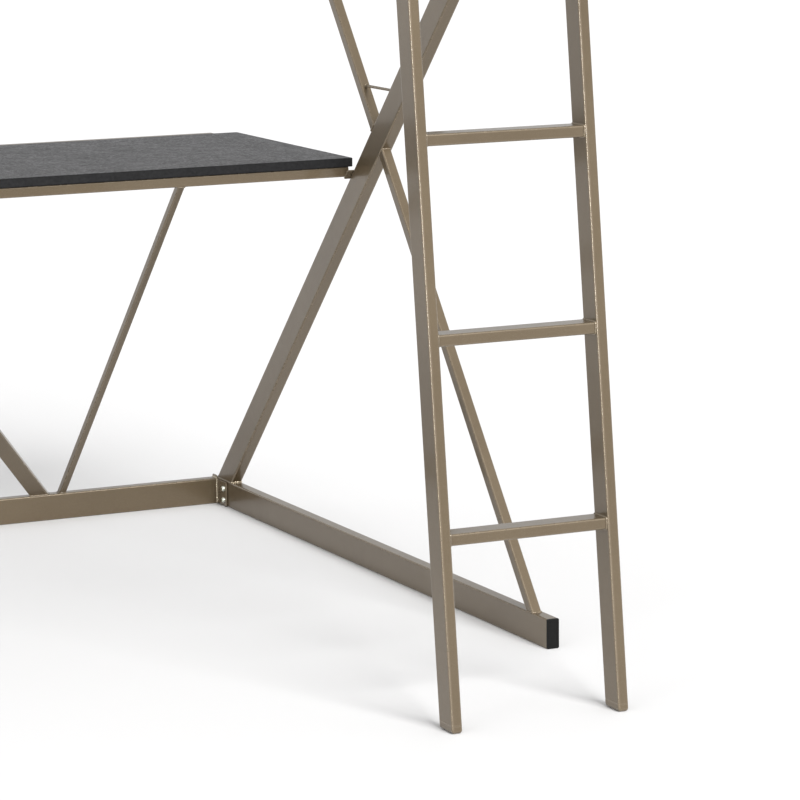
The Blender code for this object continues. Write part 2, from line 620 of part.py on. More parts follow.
def desk(shop, coat, laminate):
    """Desk board on its rails, the slanted truss under its front and the props at its rear."""
    shop.empty("desk")
    board_y = at(DESK_FRONT + DESK_DEPTH / 2)
    board = shop.add(
        "desk_top", box_mesh(2 * DESK_HALF, DESK_DEPTH, DESK_THICK), laminate,
        Matrix.Translation((0, board_y, DESK_TOP_Z - DESK_THICK / 2)),
    )
    edge = board.modifiers.new("Edge", "BEVEL")
    edge.width = 0.0008
    edge.segments = 1

    square = (DESK_TUBE, DESK_TUBE)
    rail_y = at(DESK_RAIL_FRONT + DESK_TUBE / 2)
    rail_z = (DESK_RAIL_TOP + DESK_RAIL_BOTTOM) / 2
    reach = HALF_INNER - 0.004
    front = bar(
        shop, "desk_front_rail", coat, (-reach, rail_y, rail_z), (reach, rail_y, rail_z),
        (0, 1, 0), square,
    )
    slope = Vector((0, -cos(MAIN_ANGLE), sin(MAIN_ANGLE)))
    outward = Vector((0, sin(MAIN_ANGLE), cos(MAIN_ANGLE)))
    tab_z = DESK_RAIL_BOTTOM + TAB_THICK
    tab_edge = Vector((0, at(main_rear_edge(tab_z)), tab_z))
    for side in (-1, 1):
        centre = tab_edge + outward * (2 * GAP + TAB_THICK / 2)
        centre.x = side * (HALF_INNER + MAIN_THICK - TAB_LENGTH / 2 - CORNER)
        shop.boolean(
            front, box_mesh(TAB_LENGTH, TAB_THICK, TAB_HIGH),
            frame_of(centre, slope, (1, 0, 0)), "UNION",
        )

    rear_y = at(DESK_REAR + GAP + DESK_TUBE / 2)
    rear_z = DESK_TOP_Z - DESK_REAR_RAIL_HIGH / 2
    rear_reach = HALF_INNER - DESK_REAR_RAIL_INSET
    bar(
        shop, "desk_rear_rail", coat, (-rear_reach, rear_y, rear_z), (rear_reach, rear_y, rear_z),
        (0, 1, 0), (DESK_TUBE, DESK_REAR_RAIL_HIGH),
    )

    up = Vector((0, -cos(TRUSS_ANGLE), sin(TRUSS_ANGLE)))
    inward = Vector((0, sin(TRUSS_ANGLE), cos(TRUSS_ANGLE))) * STRUT_SIZE / 2
    foot = Vector((0, at(FLOOR_RAIL_FRONT) + GAP, MAIN_HIGH)) + inward
    head = Vector((0, at(DESK_RAIL_FRONT) + GAP, DESK_RAIL_BOTTOM)) + inward
    brace_rise = hypot(DESK_RAIL_BOTTOM - MAIN_HIGH, FLOOR_RAIL_FRONT - DESK_RAIL_FRONT)
    prop_foot = Vector((0, at(FLOOR_RAIL_FRONT + MAIN_THICK / 2), MAIN_HIGH))
    prop_head = Vector((0, rear_y, DESK_TOP_Z - DESK_REAR_RAIL_HIGH))
    for side, word in ((-1, "left"), (1, "right")):
        side_x = side * (HALF_INNER - DESK_SIDE_RAIL_INSET - DESK_TUBE / 2)
        bar(
            shop, f"desk_side_rail_{word}", coat,
            (side_x, at(DESK_RAIL_FRONT + DESK_TUBE + GAP), rail_z),
            (side_x, at(DESK_REAR), rail_z), (1, 0, 0), square,
        )

        strut_x = Vector((side * (HALF_INNER - STRUT_INSET), 0, 0))
        strut = bar(
            shop, f"desk_strut_{word}", coat, foot + strut_x, head + strut_x, (1, 0, 0),
            (STRUT_SIZE, STRUT_SIZE), spare=0.03,
        )
        bottom_x = side * (HALF_INNER - BRACE_INSET)
        top_x = side * (BRACE_PARTING + brace_half_foot(bottom_x, brace_rise))
        brace_foot = foot + Vector((bottom_x, 0, 0))
        brace_head = head + Vector((top_x, 0, 0))
        brace = bar(
            shop, f"desk_brace_{word}", coat, brace_foot, brace_head, up.cross((1, 0, 0)),
            (STRUT_SIZE, BRACE_FACE), spare=0.06,
        )
        for piece, bottom, top in (
            (strut, foot + strut_x, head + strut_x), (brace, brace_foot, brace_head)
        ):
            shop.trim(piece, (bottom.x, bottom.y, MAIN_HIGH + GAP), (0, 0, -1))
            shop.trim(piece, (top.x, top.y, DESK_RAIL_BOTTOM - GAP), (0, 0, 1))

        prop_x = Vector((side * PROP_X, 0, 0))
        prop = bar(
            shop, f"desk_prop_{word}", coat, prop_foot + prop_x, prop_head + prop_x, (1, 0, 0),
            (PROP_SIZE, PROP_SIZE), spare=0.03,
        )
        shop.trim(prop, prop_foot + prop_x + Vector((0, 0, GAP)), (0, 0, -1))
        shop.trim(prop, prop_head + prop_x - Vector((0, 0, GAP)), (0, 0, 1))


def brace_half_foot(bottom_x, rise):
    """Half the brace's width along the rail it meets, found by repeated substitution."""
    half = BRACE_FACE / 2
    for _ in range(20):
        run = abs(bottom_x) - half - BRACE_PARTING
        half = BRACE_FACE / 2 / sin(atan2(rise, run))
    return half


def ladder(shop, coat):
    """Leaning ladder: stiles, rungs between them, feet, and hooks over the front side rail."""
    stile_gap = LADDER_WIDE - STILE_THICK
    right_x = HALF_INNER - LADDER_INSET - STILE_THICK / 2
    shop.empty("ladder", (right_x - stile_gap / 2, at(DECK_FRONT + MAIN_THICK / 2), DECK_TOP))
    way = Vector((0, sin(LADDER_LEAN), cos(LADDER_LEAN)))
    deep = Vector((0, cos(LADDER_LEAN), -sin(LADDER_LEAN)))
    front_foot = Vector((0, at(stile_front(0)), 0))
    middle = front_foot + deep * STILE_DEEP / 2
    stile_top = DECK_TOP + STILE_RISE
    for side, word in ((-1, "left"), (1, "right")):
        x = right_x if side > 0 else right_x - stile_gap
        across = Vector((x, 0, 0))
        bottom = middle + across
        top = bottom + way * (stile_top / cos(LADDER_LEAN))
        stile = bar(
            shop, f"ladder_stile_{word}", coat, bottom, top, (1, 0, 0),
            (STILE_THICK, STILE_DEEP), spare=0.03,
        )
        shop.trim(stile, (x, bottom.y, FOOT_HIGH + GAP), (0, 0, -1))
        shop.trim(stile, (x, top.y, stile_top), (0, 0, 1))
        shop.add(
            f"ladder_foot_{word}", foot_mesh(), coat,
            Matrix.Translation((x, at(stile_front(0)), 0)),
        )
        hook_x = x - side * (STILE_THICK / 2 + GAP + HOOK_THICK / 2)
        hook(shop, f"ladder_hook_{word}", coat, hook_x)
    for number in range(RUNG_COUNT):
        top = RUNG_FIRST + number * RUNG_STEP
        y = at(stile_front(top) + RUNG_SETBACK + RUNG_DEEP / 2)
        reach = stile_gap / 2 - STILE_THICK / 2 - GAP
        centre_x = right_x - stile_gap / 2
        bar(
            shop, f"ladder_rung_{number + 1}", coat, (centre_x - reach, y, top - RUNG_HIGH / 2),
            (centre_x + reach, y, top - RUNG_HIGH / 2), (0, 1, 0), (RUNG_DEEP, RUNG_HIGH),
        )


def foot_mesh():
    """Foot that carries on the stile's slope down to the floor, with a rounded sole.

    Its origin is where the stile's front face would meet the floor.
    """
    level_deep = STILE_DEEP / cos(LADDER_LEAN)
    bm = bmesh.new()
    bmesh.ops.create_cube(bm, size=1.0)
    bmesh.ops.scale(bm, vec=(STILE_THICK, level_deep, FOOT_HIGH), verts=bm.verts)
    bmesh.ops.translate(bm, vec=(0, level_deep / 2, FOOT_HIGH / 2), verts=bm.verts)
    for vert in bm.verts:
        vert.co.y += vert.co.z * tan(LADDER_LEAN)
    sole = [e for e in bm.edges if all(v.co.z < FOOT_HIGH / 2 for v in e.verts)]
    bmesh.ops.bevel(bm, geom=sole, offset=FOOT_ROUND, segments=4, profile=0.5, affect="EDGES")
    return mesh_from(bm)


def hook(shop, name, material, x):
    """Flat hook plate in the Y-Z plane, whose slot drops over the front side rail."""
    front = DECK_FRONT - HOOK_CLEARANCE
    rear = DECK_FRONT + MAIN_THICK + HOOK_CLEARANCE
    crown = DECK_TOP + HOOK_CROWN
    root = DECK_TOP - HOOK_ROOT
    seat = DECK_TOP + GAP
    tip = DECK_TOP - HOOK_DROP
    root_front = stile_front(root) + STILE_DEEP / 3
    outline = [
        (root_front, root), (front, root), (front, seat), (rear, seat), (rear, tip),
        (rear + HOOK_LEG, tip), (rear + HOOK_LEG, crown),
        (stile_front(crown) + STILE_DEEP / 3, crown),
    ]
    flat = bpy.data.curves.new(name, "CURVE")
    flat.dimensions = "2D"
    flat.fill_mode = "BOTH"
    flat.extrude = HOOK_THICK / 2
    spline = flat.splines.new("POLY")
    spline.points.add(len(outline) - 1)
    for point, (station, z) in zip(spline.points, outline):
        point.co = (at(station), z, 0, 1)
    spline.use_cyclic_u = True
    flat.materials.append(material)
    piece = bpy.data.objects.new(name, flat)
    shop.parts.objects.link(piece)
    piece.parent = shop.group
    turn = Matrix(((0, 0, 1), (1, 0, 0), (0, 1, 0)))
    piece.location = Vector((x, 0, 0)) - shop.group.location
    piece.rotation_euler = turn.to_euler()


def main():
    """Builds the whole bed."""
    shop = Workshop()
    coat = finish("champagne_powder_coat", (0.245, 0.200, 0.150), 0.36, 0.65)
    plastic = finish("black_plug_plastic", (0.018, 0.018, 0.018), 0.45, 0.0)
    zinc = finish("zinc_plated_steel", (0.55, 0.56, 0.52), 0.28, 0.9)
    laminate = finish("black_desk_laminate", (0.028, 0.028, 0.030), 0.33, 0.0)
    for side, word in ((-1, "left"), (1, "right")):
        end_frame(shop, side, word, coat, plastic, zinc)
    long_rails(shop, coat)
    deck(shop, coat)
    long_guards(shop, coat)
    desk(shop, coat, laminate)
    ladder(shop, coat)


main()
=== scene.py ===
"""Looks for a loft bed with a desk: steel tube frame, slatted deck, guards, desk board and ladder.

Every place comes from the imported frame's boxes. The sizes held here are those that a box can't
give, such as a tube's wall. Units are metres, +Z is up, and the ladder leans on the front rail.
"""

import logging
import math
from dataclasses import dataclass, field
from enum import Enum

import bpy
import numpy as np
from mathutils import Matrix, Vector


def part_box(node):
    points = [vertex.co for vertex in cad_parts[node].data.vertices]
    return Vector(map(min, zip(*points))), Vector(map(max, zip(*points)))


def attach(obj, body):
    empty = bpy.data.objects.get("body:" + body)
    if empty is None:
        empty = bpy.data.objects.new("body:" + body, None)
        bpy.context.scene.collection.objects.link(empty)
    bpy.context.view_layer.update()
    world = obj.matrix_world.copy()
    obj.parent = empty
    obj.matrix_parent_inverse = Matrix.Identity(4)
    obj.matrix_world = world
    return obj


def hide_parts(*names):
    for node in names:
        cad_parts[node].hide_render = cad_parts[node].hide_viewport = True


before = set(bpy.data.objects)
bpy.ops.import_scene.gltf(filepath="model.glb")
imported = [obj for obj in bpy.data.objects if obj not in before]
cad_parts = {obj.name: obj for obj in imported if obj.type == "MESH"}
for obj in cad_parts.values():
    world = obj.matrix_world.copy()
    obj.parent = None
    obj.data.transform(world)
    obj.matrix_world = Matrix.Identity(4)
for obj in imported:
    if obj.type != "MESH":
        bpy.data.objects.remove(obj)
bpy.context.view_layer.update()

Array = np.ndarray
log = logging.getLogger("loft_bed")

GAP = 0.0003  # between neighbouring pieces, as in the frame
WALL = 0.0015  # steel tube wall
EASE = 0.0015  # from an end to the next ring
LEAD = 0.0006  # from a corner's arc to the point on the flat beside it
FULL_BEND = 0.008  # how far a face's normal leaves its vertex's on a fully bent edge
BEAD_STEP = 0.0009  # between a weld bead's rings
BEAD_SIDES = 8  # points round a weld bead
PIPE_CORNER = 0.0025  # outer corner radius of the thinner tubes
UP = np.array([0.0, 0.0, 1.0])
ALONG_X = np.array([1.0, 0.0, 0.0])
ALONG_Y = np.array([0.0, 1.0, 0.0])


class Slot(Enum):
    """The record's material slots."""

    COAT = "coat"
    LAMINATE = "laminate"
    PLUG = "plug"
    ZINC = "zinc"


class Side(Enum):
    """The two ends of the bed, as the sign of X."""

    LEFT = -1
    RIGHT = 1

    @property
    def word(self) -> str:
        """Lower-case name of the end."""
        return self.name.lower()


class Body(Enum):
    """The frame's rigid bodies."""

    BED = "frame"
    LADDER = "ladder"


# ---------------------------------------------------------------- shader maths


class Signal:
    """A node's output socket that can be used in arithmetic."""

    def __init__(self, graph: "Graph", socket: bpy.types.NodeSocket) -> None:
        """Wraps a socket of a graph."""
        self.graph = graph
        self.socket = socket

    def _math(self, operation: str, first: object, second: object) -> "Signal":
        """Math node of one operation on two values or signals."""
        return self.graph.node("ShaderNodeMath", {"operation": operation}, {0: first, 1: second})

    def __add__(self, other: object) -> "Signal":
        """self + other."""
        return self._math("ADD", self, other)

    def __radd__(self, other: object) -> "Signal":
        """other + self."""
        return self._math("ADD", other, self)

    def __sub__(self, other: object) -> "Signal":
        """self - other."""
        return self._math("SUBTRACT", self, other)

    def __rsub__(self, other: object) -> "Signal":
        """other - self."""
        return self._math("SUBTRACT", other, self)

    def __mul__(self, other: object) -> "Signal":
        """self * other."""
        return self._math("MULTIPLY", self, other)

    def __rmul__(self, other: object) -> "Signal":
        """other * self."""
        return self._math("MULTIPLY", other, self)


class Graph:
    """The node tree of one material, with its Principled shader."""

    def __init__(self, name: str) -> None:
        """Makes a material whose shader is ready for its sockets.

        Args:
            name: The material's name.
        """
        self.material = bpy.data.materials.new(name)
        self.material.use_nodes = True
        self.tree = self.material.node_tree
        self.shader = self.tree.nodes["Principled BSDF"]

    def node(
        self, kind: str, settings: dict | None = None, inputs: dict | None = None,
        output: int | str = 0,
    ) -> Signal:
        """Adds a node.

        Args:
            kind: The node's type name.
            settings: Its own options, set first; "stops" gives a colour ramp's (place, grey).
            inputs: Values or signals of its input sockets, by number or name.
            output: The output socket wanted.

        Returns:
            The output as a signal.
        """
        made = self.tree.nodes.new(kind)
        for key, value in (settings or {}).items():
            if key == "stops":
                ramp = made.color_ramp.elements
                while len(ramp) < len(value):
                    ramp.new(0.5)
                for stop, (place, grey) in zip(ramp, value):
                    stop.position = place
                    stop.color = (grey, grey, grey, 1.0)
            else:
                setattr(made, key, value)
        for key, value in (inputs or {}).items():
            self.feed(made.inputs[key], value)
        return Signal(self, made.outputs[output])

    def feed(self, socket: bpy.types.NodeSocket, value: object) -> None:
        """Links a signal to an input socket, or sets the socket's own value.

        Args:
            socket: The input.
            value: A signal, or what the socket holds.
        """
        if isinstance(value, Signal):
            self.tree.links.new(value.socket, socket)
        else:
            socket.default_value = value

    def place(self) -> Signal:
        """Object coordinates, in metres."""
        return self.node("ShaderNodeTexCoord", output="Object")

    def noise(self, per_metre: float, detail: float = 2.0, roughness: float = 0.5) -> Signal:
        """Smooth noise about 0.5.

        Args:
            per_metre: Lumps to a metre.
            detail: How many finer layers there are.
            roughness: How strong each finer layer is.

        Returns:
            The noise.
        """
        return self.node(
            "ShaderNodeTexNoise", {"noise_dimensions": "3D"},
            {"Vector": self.place(), "Scale": per_metre, "Detail": detail,
             "Roughness": roughness},
        )

    def ramp(self, signal: Signal, *stops: tuple[float, float]) -> Signal:
        """The signal through a grey ramp of (place, grey) stops."""
        return self.node("ShaderNodeValToRGB", {"stops": stops}, {0: signal})

    def edges(self) -> Signal:
        """1 on rounded edges and beads, and 0 on flats."""
        return self.node("ShaderNodeAttribute", {"attribute_name": "edge"}, output="Fac")

    def blend(
        self, mask: object, first: tuple | Signal, second: tuple | Signal
    ) -> Signal:
        """Colour that goes from first to second as the mask goes from 0 to 1.

        Args:
            mask: The mask.
            first: Colour, or a signal of one, where the mask is 0.
            second: The same, where the mask is 1.

        Returns:
            The mixed colour.
        """
        made = self.tree.nodes.new("ShaderNodeMix")
        made.data_type = "RGBA"
        self.feed(made.inputs["Factor"], mask)
        for number, colour in ((6, first), (7, second)):
            self.feed(made.inputs[number], colour if isinstance(colour, Signal)
                      else (*colour, 1.0))
        return Signal(self, made.outputs[2])

    def bump(self, height: Signal, depth: float) -> None:
        """Feeds the shader's normal.

        Args:
            height: The relief, from 0 to 1.
            depth: How deep it is, in metres.
        """
        normal = self.node("ShaderNodeBump", {}, {"Height": height, "Distance": depth})
        self.feed(self.shader.inputs["Normal"], normal)

    def shade(self, **sockets: object) -> bpy.types.Material:
        """Sets the shader's sockets.

        Args:
            **sockets: A value or signal for each, with _ for each space in its name.

        Returns:
            The finished material.
        """
        for name, value in sockets.items():
            socket = self.shader.inputs[name.replace("_", " ")]
            self.feed(socket, (*value, 1.0) if isinstance(value, tuple) else value)
        return self.material


@dataclass(frozen=True)
class PowderCoat:
    """Champagne-taupe metallic powder coat with a faint orange peel and fine flake.

    Its paler rounded edges, broken into patches, are a painted highlight. Each name that ends in
    per_metre is the number of lumps to a metre in a pattern.
    """

    deep: tuple[float, float, float] = (0.100, 0.072, 0.040)
    pale: tuple[float, float, float] = (0.122, 0.090, 0.052)
    flake: tuple[float, float, float] = (0.34, 0.29, 0.22)
    # painted highlight: the paler colour that the rounded edges take
    edge_highlight: tuple[float, float, float] = (0.34, 0.285, 0.215)
    roughness: float = 0.36
    metallic: float = 0.50
    clouds_per_metre: float = 3.5
    flakes_per_metre: float = 2600.0
    flake_share: float = 0.30
    # patches, strength and extra gloss of the painted edge highlight
    wear_per_metre: float = 38.0
    edge_highlight_share: float = 0.24
    edge_highlight_gloss: float = 0.10
    peel_per_metre: float = 420.0
    fine_peel_per_metre: float = 1900.0
    peel_depth: float = 0.00002
    rough_per_metre: float = 60.0
    rough_spread: float = 0.10

    def material(self, name: str, extra_rough: float = 0.0) -> bpy.types.Material:
        """Builds the coat.

        Args:
            name: The material's name.
            extra_rough: Added to the roughness, as on a weld.

        Returns:
            The material.
        """
        graph = Graph(name)
        cloud = graph.ramp(graph.noise(self.clouds_per_metre, 3.0), (0.30, 0.0), (0.70, 1.0))
        flakes = graph.ramp(graph.noise(self.flakes_per_metre, 0.0), (0.62, 0.0), (0.78, 1.0))
        base = graph.blend(cloud, self.deep, self.pale)
        colour = graph.blend(flakes * self.flake_share, base, self.flake)
        # Painted highlight: rounded edges, in patches, go pale towards edge_highlight and get
        # glossier.
        patches = graph.ramp(graph.noise(self.wear_per_metre, 3.0), (0.34, 0.80), (0.64, 1.0))
        highlighted_edges = graph.edges() * patches
        colour = graph.blend(highlighted_edges * self.edge_highlight_share, colour, self.edge_highlight)
        coarse = graph.noise(self.peel_per_metre, 2.0)
        fine = graph.noise(self.fine_peel_per_metre, 1.0)
        graph.bump(coarse * 0.75 + fine * 0.25, self.peel_depth + 0.0001 * extra_rough)
        least = self.roughness + extra_rough - self.rough_spread / 2
        rough = graph.noise(self.rough_per_metre, 2.0) * self.rough_spread + least
        rough = rough - highlighted_edges * self.edge_highlight_gloss
        return graph.shade(
            Base_Color=colour, Roughness=rough, Metallic=self.metallic, Coat_Weight=0.45,
            Coat_Roughness=0.10,
        )


@dataclass(frozen=True)
class DeskLaminate:
    """Black laminate with a fine pebbled grain, a slight cloudiness, and its edge faces painted
    darker as a painted shade.
    """

    dark: tuple[float, float, float] = (0.009, 0.009, 0.010)
    light: tuple[float, float, float] = (0.046, 0.046, 0.050)
    # painted shade: the darker colour of the board's edge faces
    painted_edge_shade: tuple[float, float, float] = (0.0025, 0.0025, 0.003)
    roughness: float = 0.56
    clouds_per_metre: float = 28.0
    cloud_share: float = 0.25
    grain_per_metre: float = 190.0
    pores_per_metre: float = 900.0
    grain_depth: float = 0.0009
    grain_gloss: float = 0.22
    edge_rough: float = 0.30

    def material(self, name: str) -> bpy.types.Material:
        """Builds the laminate.

        Args:
            name: The material's name.

        Returns:
            The material.
        """
        graph = Graph(name)
        cloud = graph.noise(self.clouds_per_metre, 5.0, 0.62)
        grain = graph.noise(self.grain_per_metre, 4.0, 0.65)
        mixed = cloud * self.cloud_share + grain * (1 - self.cloud_share)
        mottle = graph.ramp(mixed, (0.38, 0.0), (0.64, 1.0))
        colour = graph.blend(mottle, self.dark, self.light)
        # Painted shade: the bent edge faces go darker and duller.
        painted_edge_shade = graph.edges()
        colour = graph.blend(painted_edge_shade, colour, self.painted_edge_shade)
        pores = graph.noise(self.pores_per_metre, 1.0)
        graph.bump(grain * 0.6 + pores * 0.4, self.grain_depth)
        rough = mottle * -self.grain_gloss + painted_edge_shade * self.edge_rough + self.roughness
        return graph.shade(
            Base_Color=colour, Roughness=rough, Metallic=0.0, Specular_IOR_Level=0.36
        )


@dataclass(frozen=True)
class PlugPlastic:
    """Black moulded plastic with a spark-eroded texture."""

    dark: tuple[float, float, float] = (0.004, 0.004, 0.004)
    light: tuple[float, float, float] = (0.011, 0.011, 0.011)
    roughness: float = 0.40
    rough_spread: float = 0.12
    grain_per_metre: float = 1500.0
    grain_depth: float = 0.00005

    def material(self, name: str) -> bpy.types.Material:
        """Builds the plastic.

        Args:
            name: The material's name.

        Returns:
            The material.
        """
        graph = Graph(name)
        grain = graph.noise(self.grain_per_metre, 2.0)
        colour = graph.blend(graph.ramp(grain, (0.35, 0.0), (0.70, 1.0)), self.dark, self.light)
        graph.bump(grain, self.grain_depth)
        return graph.shade(
            Base_Color=colour, Roughness=grain * self.rough_spread + self.roughness,
            Metallic=0.0, Specular_IOR_Level=0.10,
        )


@dataclass(frozen=True)
class ZincPlate:
    """Zinc-plated steel with a faint yellow-green bloom."""

    bright: tuple[float, float, float] = (0.80, 0.81, 0.75)
    bloom: tuple[float, float, float] = (0.62, 0.66, 0.54)
    roughness: float = 0.27
    rough_spread: float = 0.12
    bloom_per_metre: float = 240.0
    grain_per_metre: float = 1400.0
    grain_depth: float = 0.00003

    def material(self, name: str) -> bpy.types.Material:
        """Builds the plating.

        Args:
            name: The material's name.

        Returns:
            The material.
        """
        graph = Graph(name)
        cloud = graph.ramp(graph.noise(self.bloom_per_metre, 3.0), (0.38, 0.0), (0.66, 1.0))
        colour = graph.blend(cloud, self.bright, self.bloom)
        graph.bump(graph.noise(self.grain_per_metre, 2.0), self.grain_depth)
        return graph.shade(
            Base_Color=colour, Roughness=cloud * self.rough_spread + self.roughness,
            Metallic=1.0,
        )


# ------------------------------------------------------------------- surfaces


@dataclass
class Shell:
    """One closed surface: its points, its quads and its flat end caps."""

    points: Array
    quads: Array
    caps: list[Array] = field(default_factory=list)

    def outward(self) -> "Shell":
        """The same surface with its faces turned outwards.

        The enclosed volume is the sum of a . (b x c) / 6 over its triangles; where that is
        negative every face is reversed.

        Returns:
            The surface.
        """
        fans = [self.quads[:, [0, 1, 2]], self.quads[:, [0, 2, 3]]]
        for cap in self.caps:
            first = np.full(len(cap) - 2, cap[0])
            fans.append(np.stack([first, cap[1:-1], cap[2:]], 1))
        corners = self.points[np.vstack(fans)] - self.points.mean(0)
        volume = np.einsum(
            "ij,ij->i", corners[:, 0], np.cross(corners[:, 1], corners[:, 2])
        ).sum()
        if volume >= 0:
            return self
        return Shell(self.points, self.quads[:, ::-1], [cap[::-1] for cap in self.caps])


def unit(vector: Array) -> Array:
    """The vector, or each row of vectors, at length 1."""
    vector = np.asarray(vector, float)
    return vector / np.linalg.norm(vector, axis=-1, keepdims=True)


def rounded_rectangle(width: float, height: float, radius: float, steps: int = 5) -> Array:
    """Outline of a rectangle whose corners are quarter circles, anticlockwise.

    Each corner holds the points c + r (cos t, sin t) for t over a quarter turn, and one more
    point on the flat at either end of it, so that smooth shading stays in the corner.

    Args:
        width: Its size across.
        height: Its size up.
        radius: The corners' radius.
        steps: Parts in each quarter circle.

    Returns:
        The points, 4 (steps + 3) of them.
    """
    least = min(width, height)
    r = min(radius, 0.49 * least)  # so that two corners never meet
    lead = min(LEAD, 0.4 * (least / 2 - r))
    t = np.linspace(0, math.pi / 2, steps + 1)
    arc = np.stack([np.cos(t), np.sin(t)], 1) * r
    corner = np.vstack([[r, -lead], arc, [-lead, r]])
    turn = np.arange(4)[:, None] * math.pi / 2 + np.zeros(len(corner))
    x = corner[:, 0] * np.cos(turn) - corner[:, 1] * np.sin(turn)
    y = corner[:, 0] * np.sin(turn) + corner[:, 1] * np.cos(turn)
    centre_x = np.array([1, -1, -1, 1])[:, None] * (width / 2 - r)
    centre_y = np.array([1, 1, -1, -1])[:, None] * (height / 2 - r)
    return np.stack([x + centre_x, y + centre_y], -1).reshape(-1, 2)


def circle(radius: float, sides: int = 32) -> Array:
    """Points r (cos t, sin t) for t over a full turn."""
    t = np.arange(sides) * 2 * math.pi / sides
    return np.stack([np.cos(t), np.sin(t)], 1) * radius


def hexagon(across_flats: float, sides: int = 36) -> Array:
    """Hexagon with as many points as a circle: r(t) = (f / 2) / cos((t mod 60) - 30).

    Args:
        across_flats: The width f.
        sides: Number of points.

    Returns:
        The points.
    """
    t = np.arange(sides) * 2 * math.pi / sides
    third = math.pi / 3
    reach = across_flats / 2 / np.cos(np.mod(t, third) - third / 2)
    return np.stack([np.cos(t), np.sin(t)], 1) * reach[:, None]


def quads_between(rings: int, sides: int, joined: bool) -> Array:
    """Quads that join each ring's points n and n + 1 to the next ring's, round every ring.

    Args:
        rings: Number of rings.
        sides: Points in each ring.
        joined: True where the last ring is joined back to the first.

    Returns:
        The quads, as rows of four point numbers.
    """
    k = np.arange(rings if joined else rings - 1)[:, None]
    n = np.arange(sides)[None, :]
    after, ahead = (n + 1) % sides, (k + 1) % rings
    return np.stack(
        [k * sides + n, k * sides + after, ahead * sides + after, ahead * sides + n], -1
    ).reshape(-1, 4)


def set_flat(outline: Array, centre: Array, across: Array, rise: Array) -> Array:
    """Points centre + a across + b rise, for each (a, b) of a flat outline."""
    return centre + outline[:, :1] * across + outline[:, 1:] * rise


def loft(rings: Array) -> Shell:
    """Closed surface over rings of points, with its two ends capped flat.

    Args:
        rings: Rings of equal numbers of points, in order.

    Returns:
        The surface.
    """
    count, sides = rings.shape[:2]
    last = np.arange(sides) + (count - 1) * sides
    return Shell(
        rings.reshape(-1, 3), quads_between(count, sides, False), [np.arange(sides)[::-1], last]
    ).outward()


def stack(
    outlines: list[Array], depths: list[float], centre: Array, across: Array, rise: Array
) -> Shell:
    """Loft of flat outlines set one behind another.

    Point = centre + a across + b rise + depth (across x rise), for each outline's (a, b).

    Args:
        outlines: Flat outlines of equal numbers of points.
        depths: How far along each one is.
        centre: Where (0, 0) is at depth 0.
        across: Way of an outline's first coordinate.
        rise: Way of its second.

    Returns:
        The surface.
    """
    way = np.cross(across, rise)
    return loft(np.array([
        set_flat(flat, centre + depth * way, across, rise)
        for flat, depth in zip(outlines, depths)
    ]))


def sweep(section: Array, path: Array, across: Array, wall: Array | None = None) -> Shell:
    """Tube along a path, its section square to the path and its wall real where one is given.

    Ring k is path_k + a across + b (tangent_k x across), with a bend's tangent the mean of its
    two stretches and b lengthened by 1 / cos(half the bend) there. A wall's rings run on from
    the outer ones, back along the inside, so that the surface closes on itself.

    Args:
        section: Outline (a, b) of the outside.
        path: Points of the middle line.
        across: Way of a, square to the whole path.
        wall: Outline of the inside of a hollow tube.

    Returns:
        The surface.
    """
    first, last = unit(path[1] - path[0]), unit(path[-1] - path[-2])
    path = np.vstack(
        [path[:1], path[:1] + first * EASE, path[1:-1], path[-1:] - last * EASE, path[-1:]]
    )
    steps = unit(np.diff(path, axis=0))
    tangent = unit(np.vstack([steps[:1], steps[:-1] + steps[1:], steps[-1:]]))
    before = np.vstack([steps[:1], steps])
    stretch = 1 / np.clip(np.einsum("ij,ij->i", tangent, before), 0.5, 1)
    rise = np.cross(tangent, across) * stretch[:, None]
    outer = path[:, None] + section[None, :, :1] * across + section[None, :, 1:] * rise[:, None]
    if wall is None:
        return loft(outer)
    inner = path[:, None] + wall[None, :, :1] * across + wall[None, :, 1:] * rise[:, None]
    rings = np.concatenate([outer, inner[::-1]])
    return Shell(rings.reshape(-1, 3), quads_between(len(rings), len(section), True)).outward()


def bent_path(corners: list[tuple], radius: float, steps: int = 10) -> Array:
    """Path through corners, each inner one turned into an arc of that radius.

    With a and b the ways to its neighbours, an arc's centre is on a + b, radius / sin(half the
    angle between them) away, and its points turn evenly from one touching point to the other.

    Args:
        corners: The sharp path's points.
        radius: Radius of the arcs.
        steps: Parts in each arc.

    Returns:
        The path's points.
    """
    corners = np.array(corners, float)
    points = [corners[:1]]
    for before, corner, after in zip(corners, corners[1:], corners[2:]):
        a, b = unit(before - corner), unit(after - corner)
        half = math.acos(float(a @ b)) / 2
        centre = corner + unit(a + b) * radius / math.sin(half)
        first = unit(corner + a * radius / math.tan(half) - centre)
        side = unit(corner + b * radius / math.tan(half) - centre)
        side = unit(side - first * (side @ first))
        t = np.linspace(0, math.pi - 2 * half, steps + 1)[:, None]
        points.append(centre + radius * (first * np.cos(t) + side * np.sin(t)))
    points.append(corners[-1:])
    return np.vstack(points)


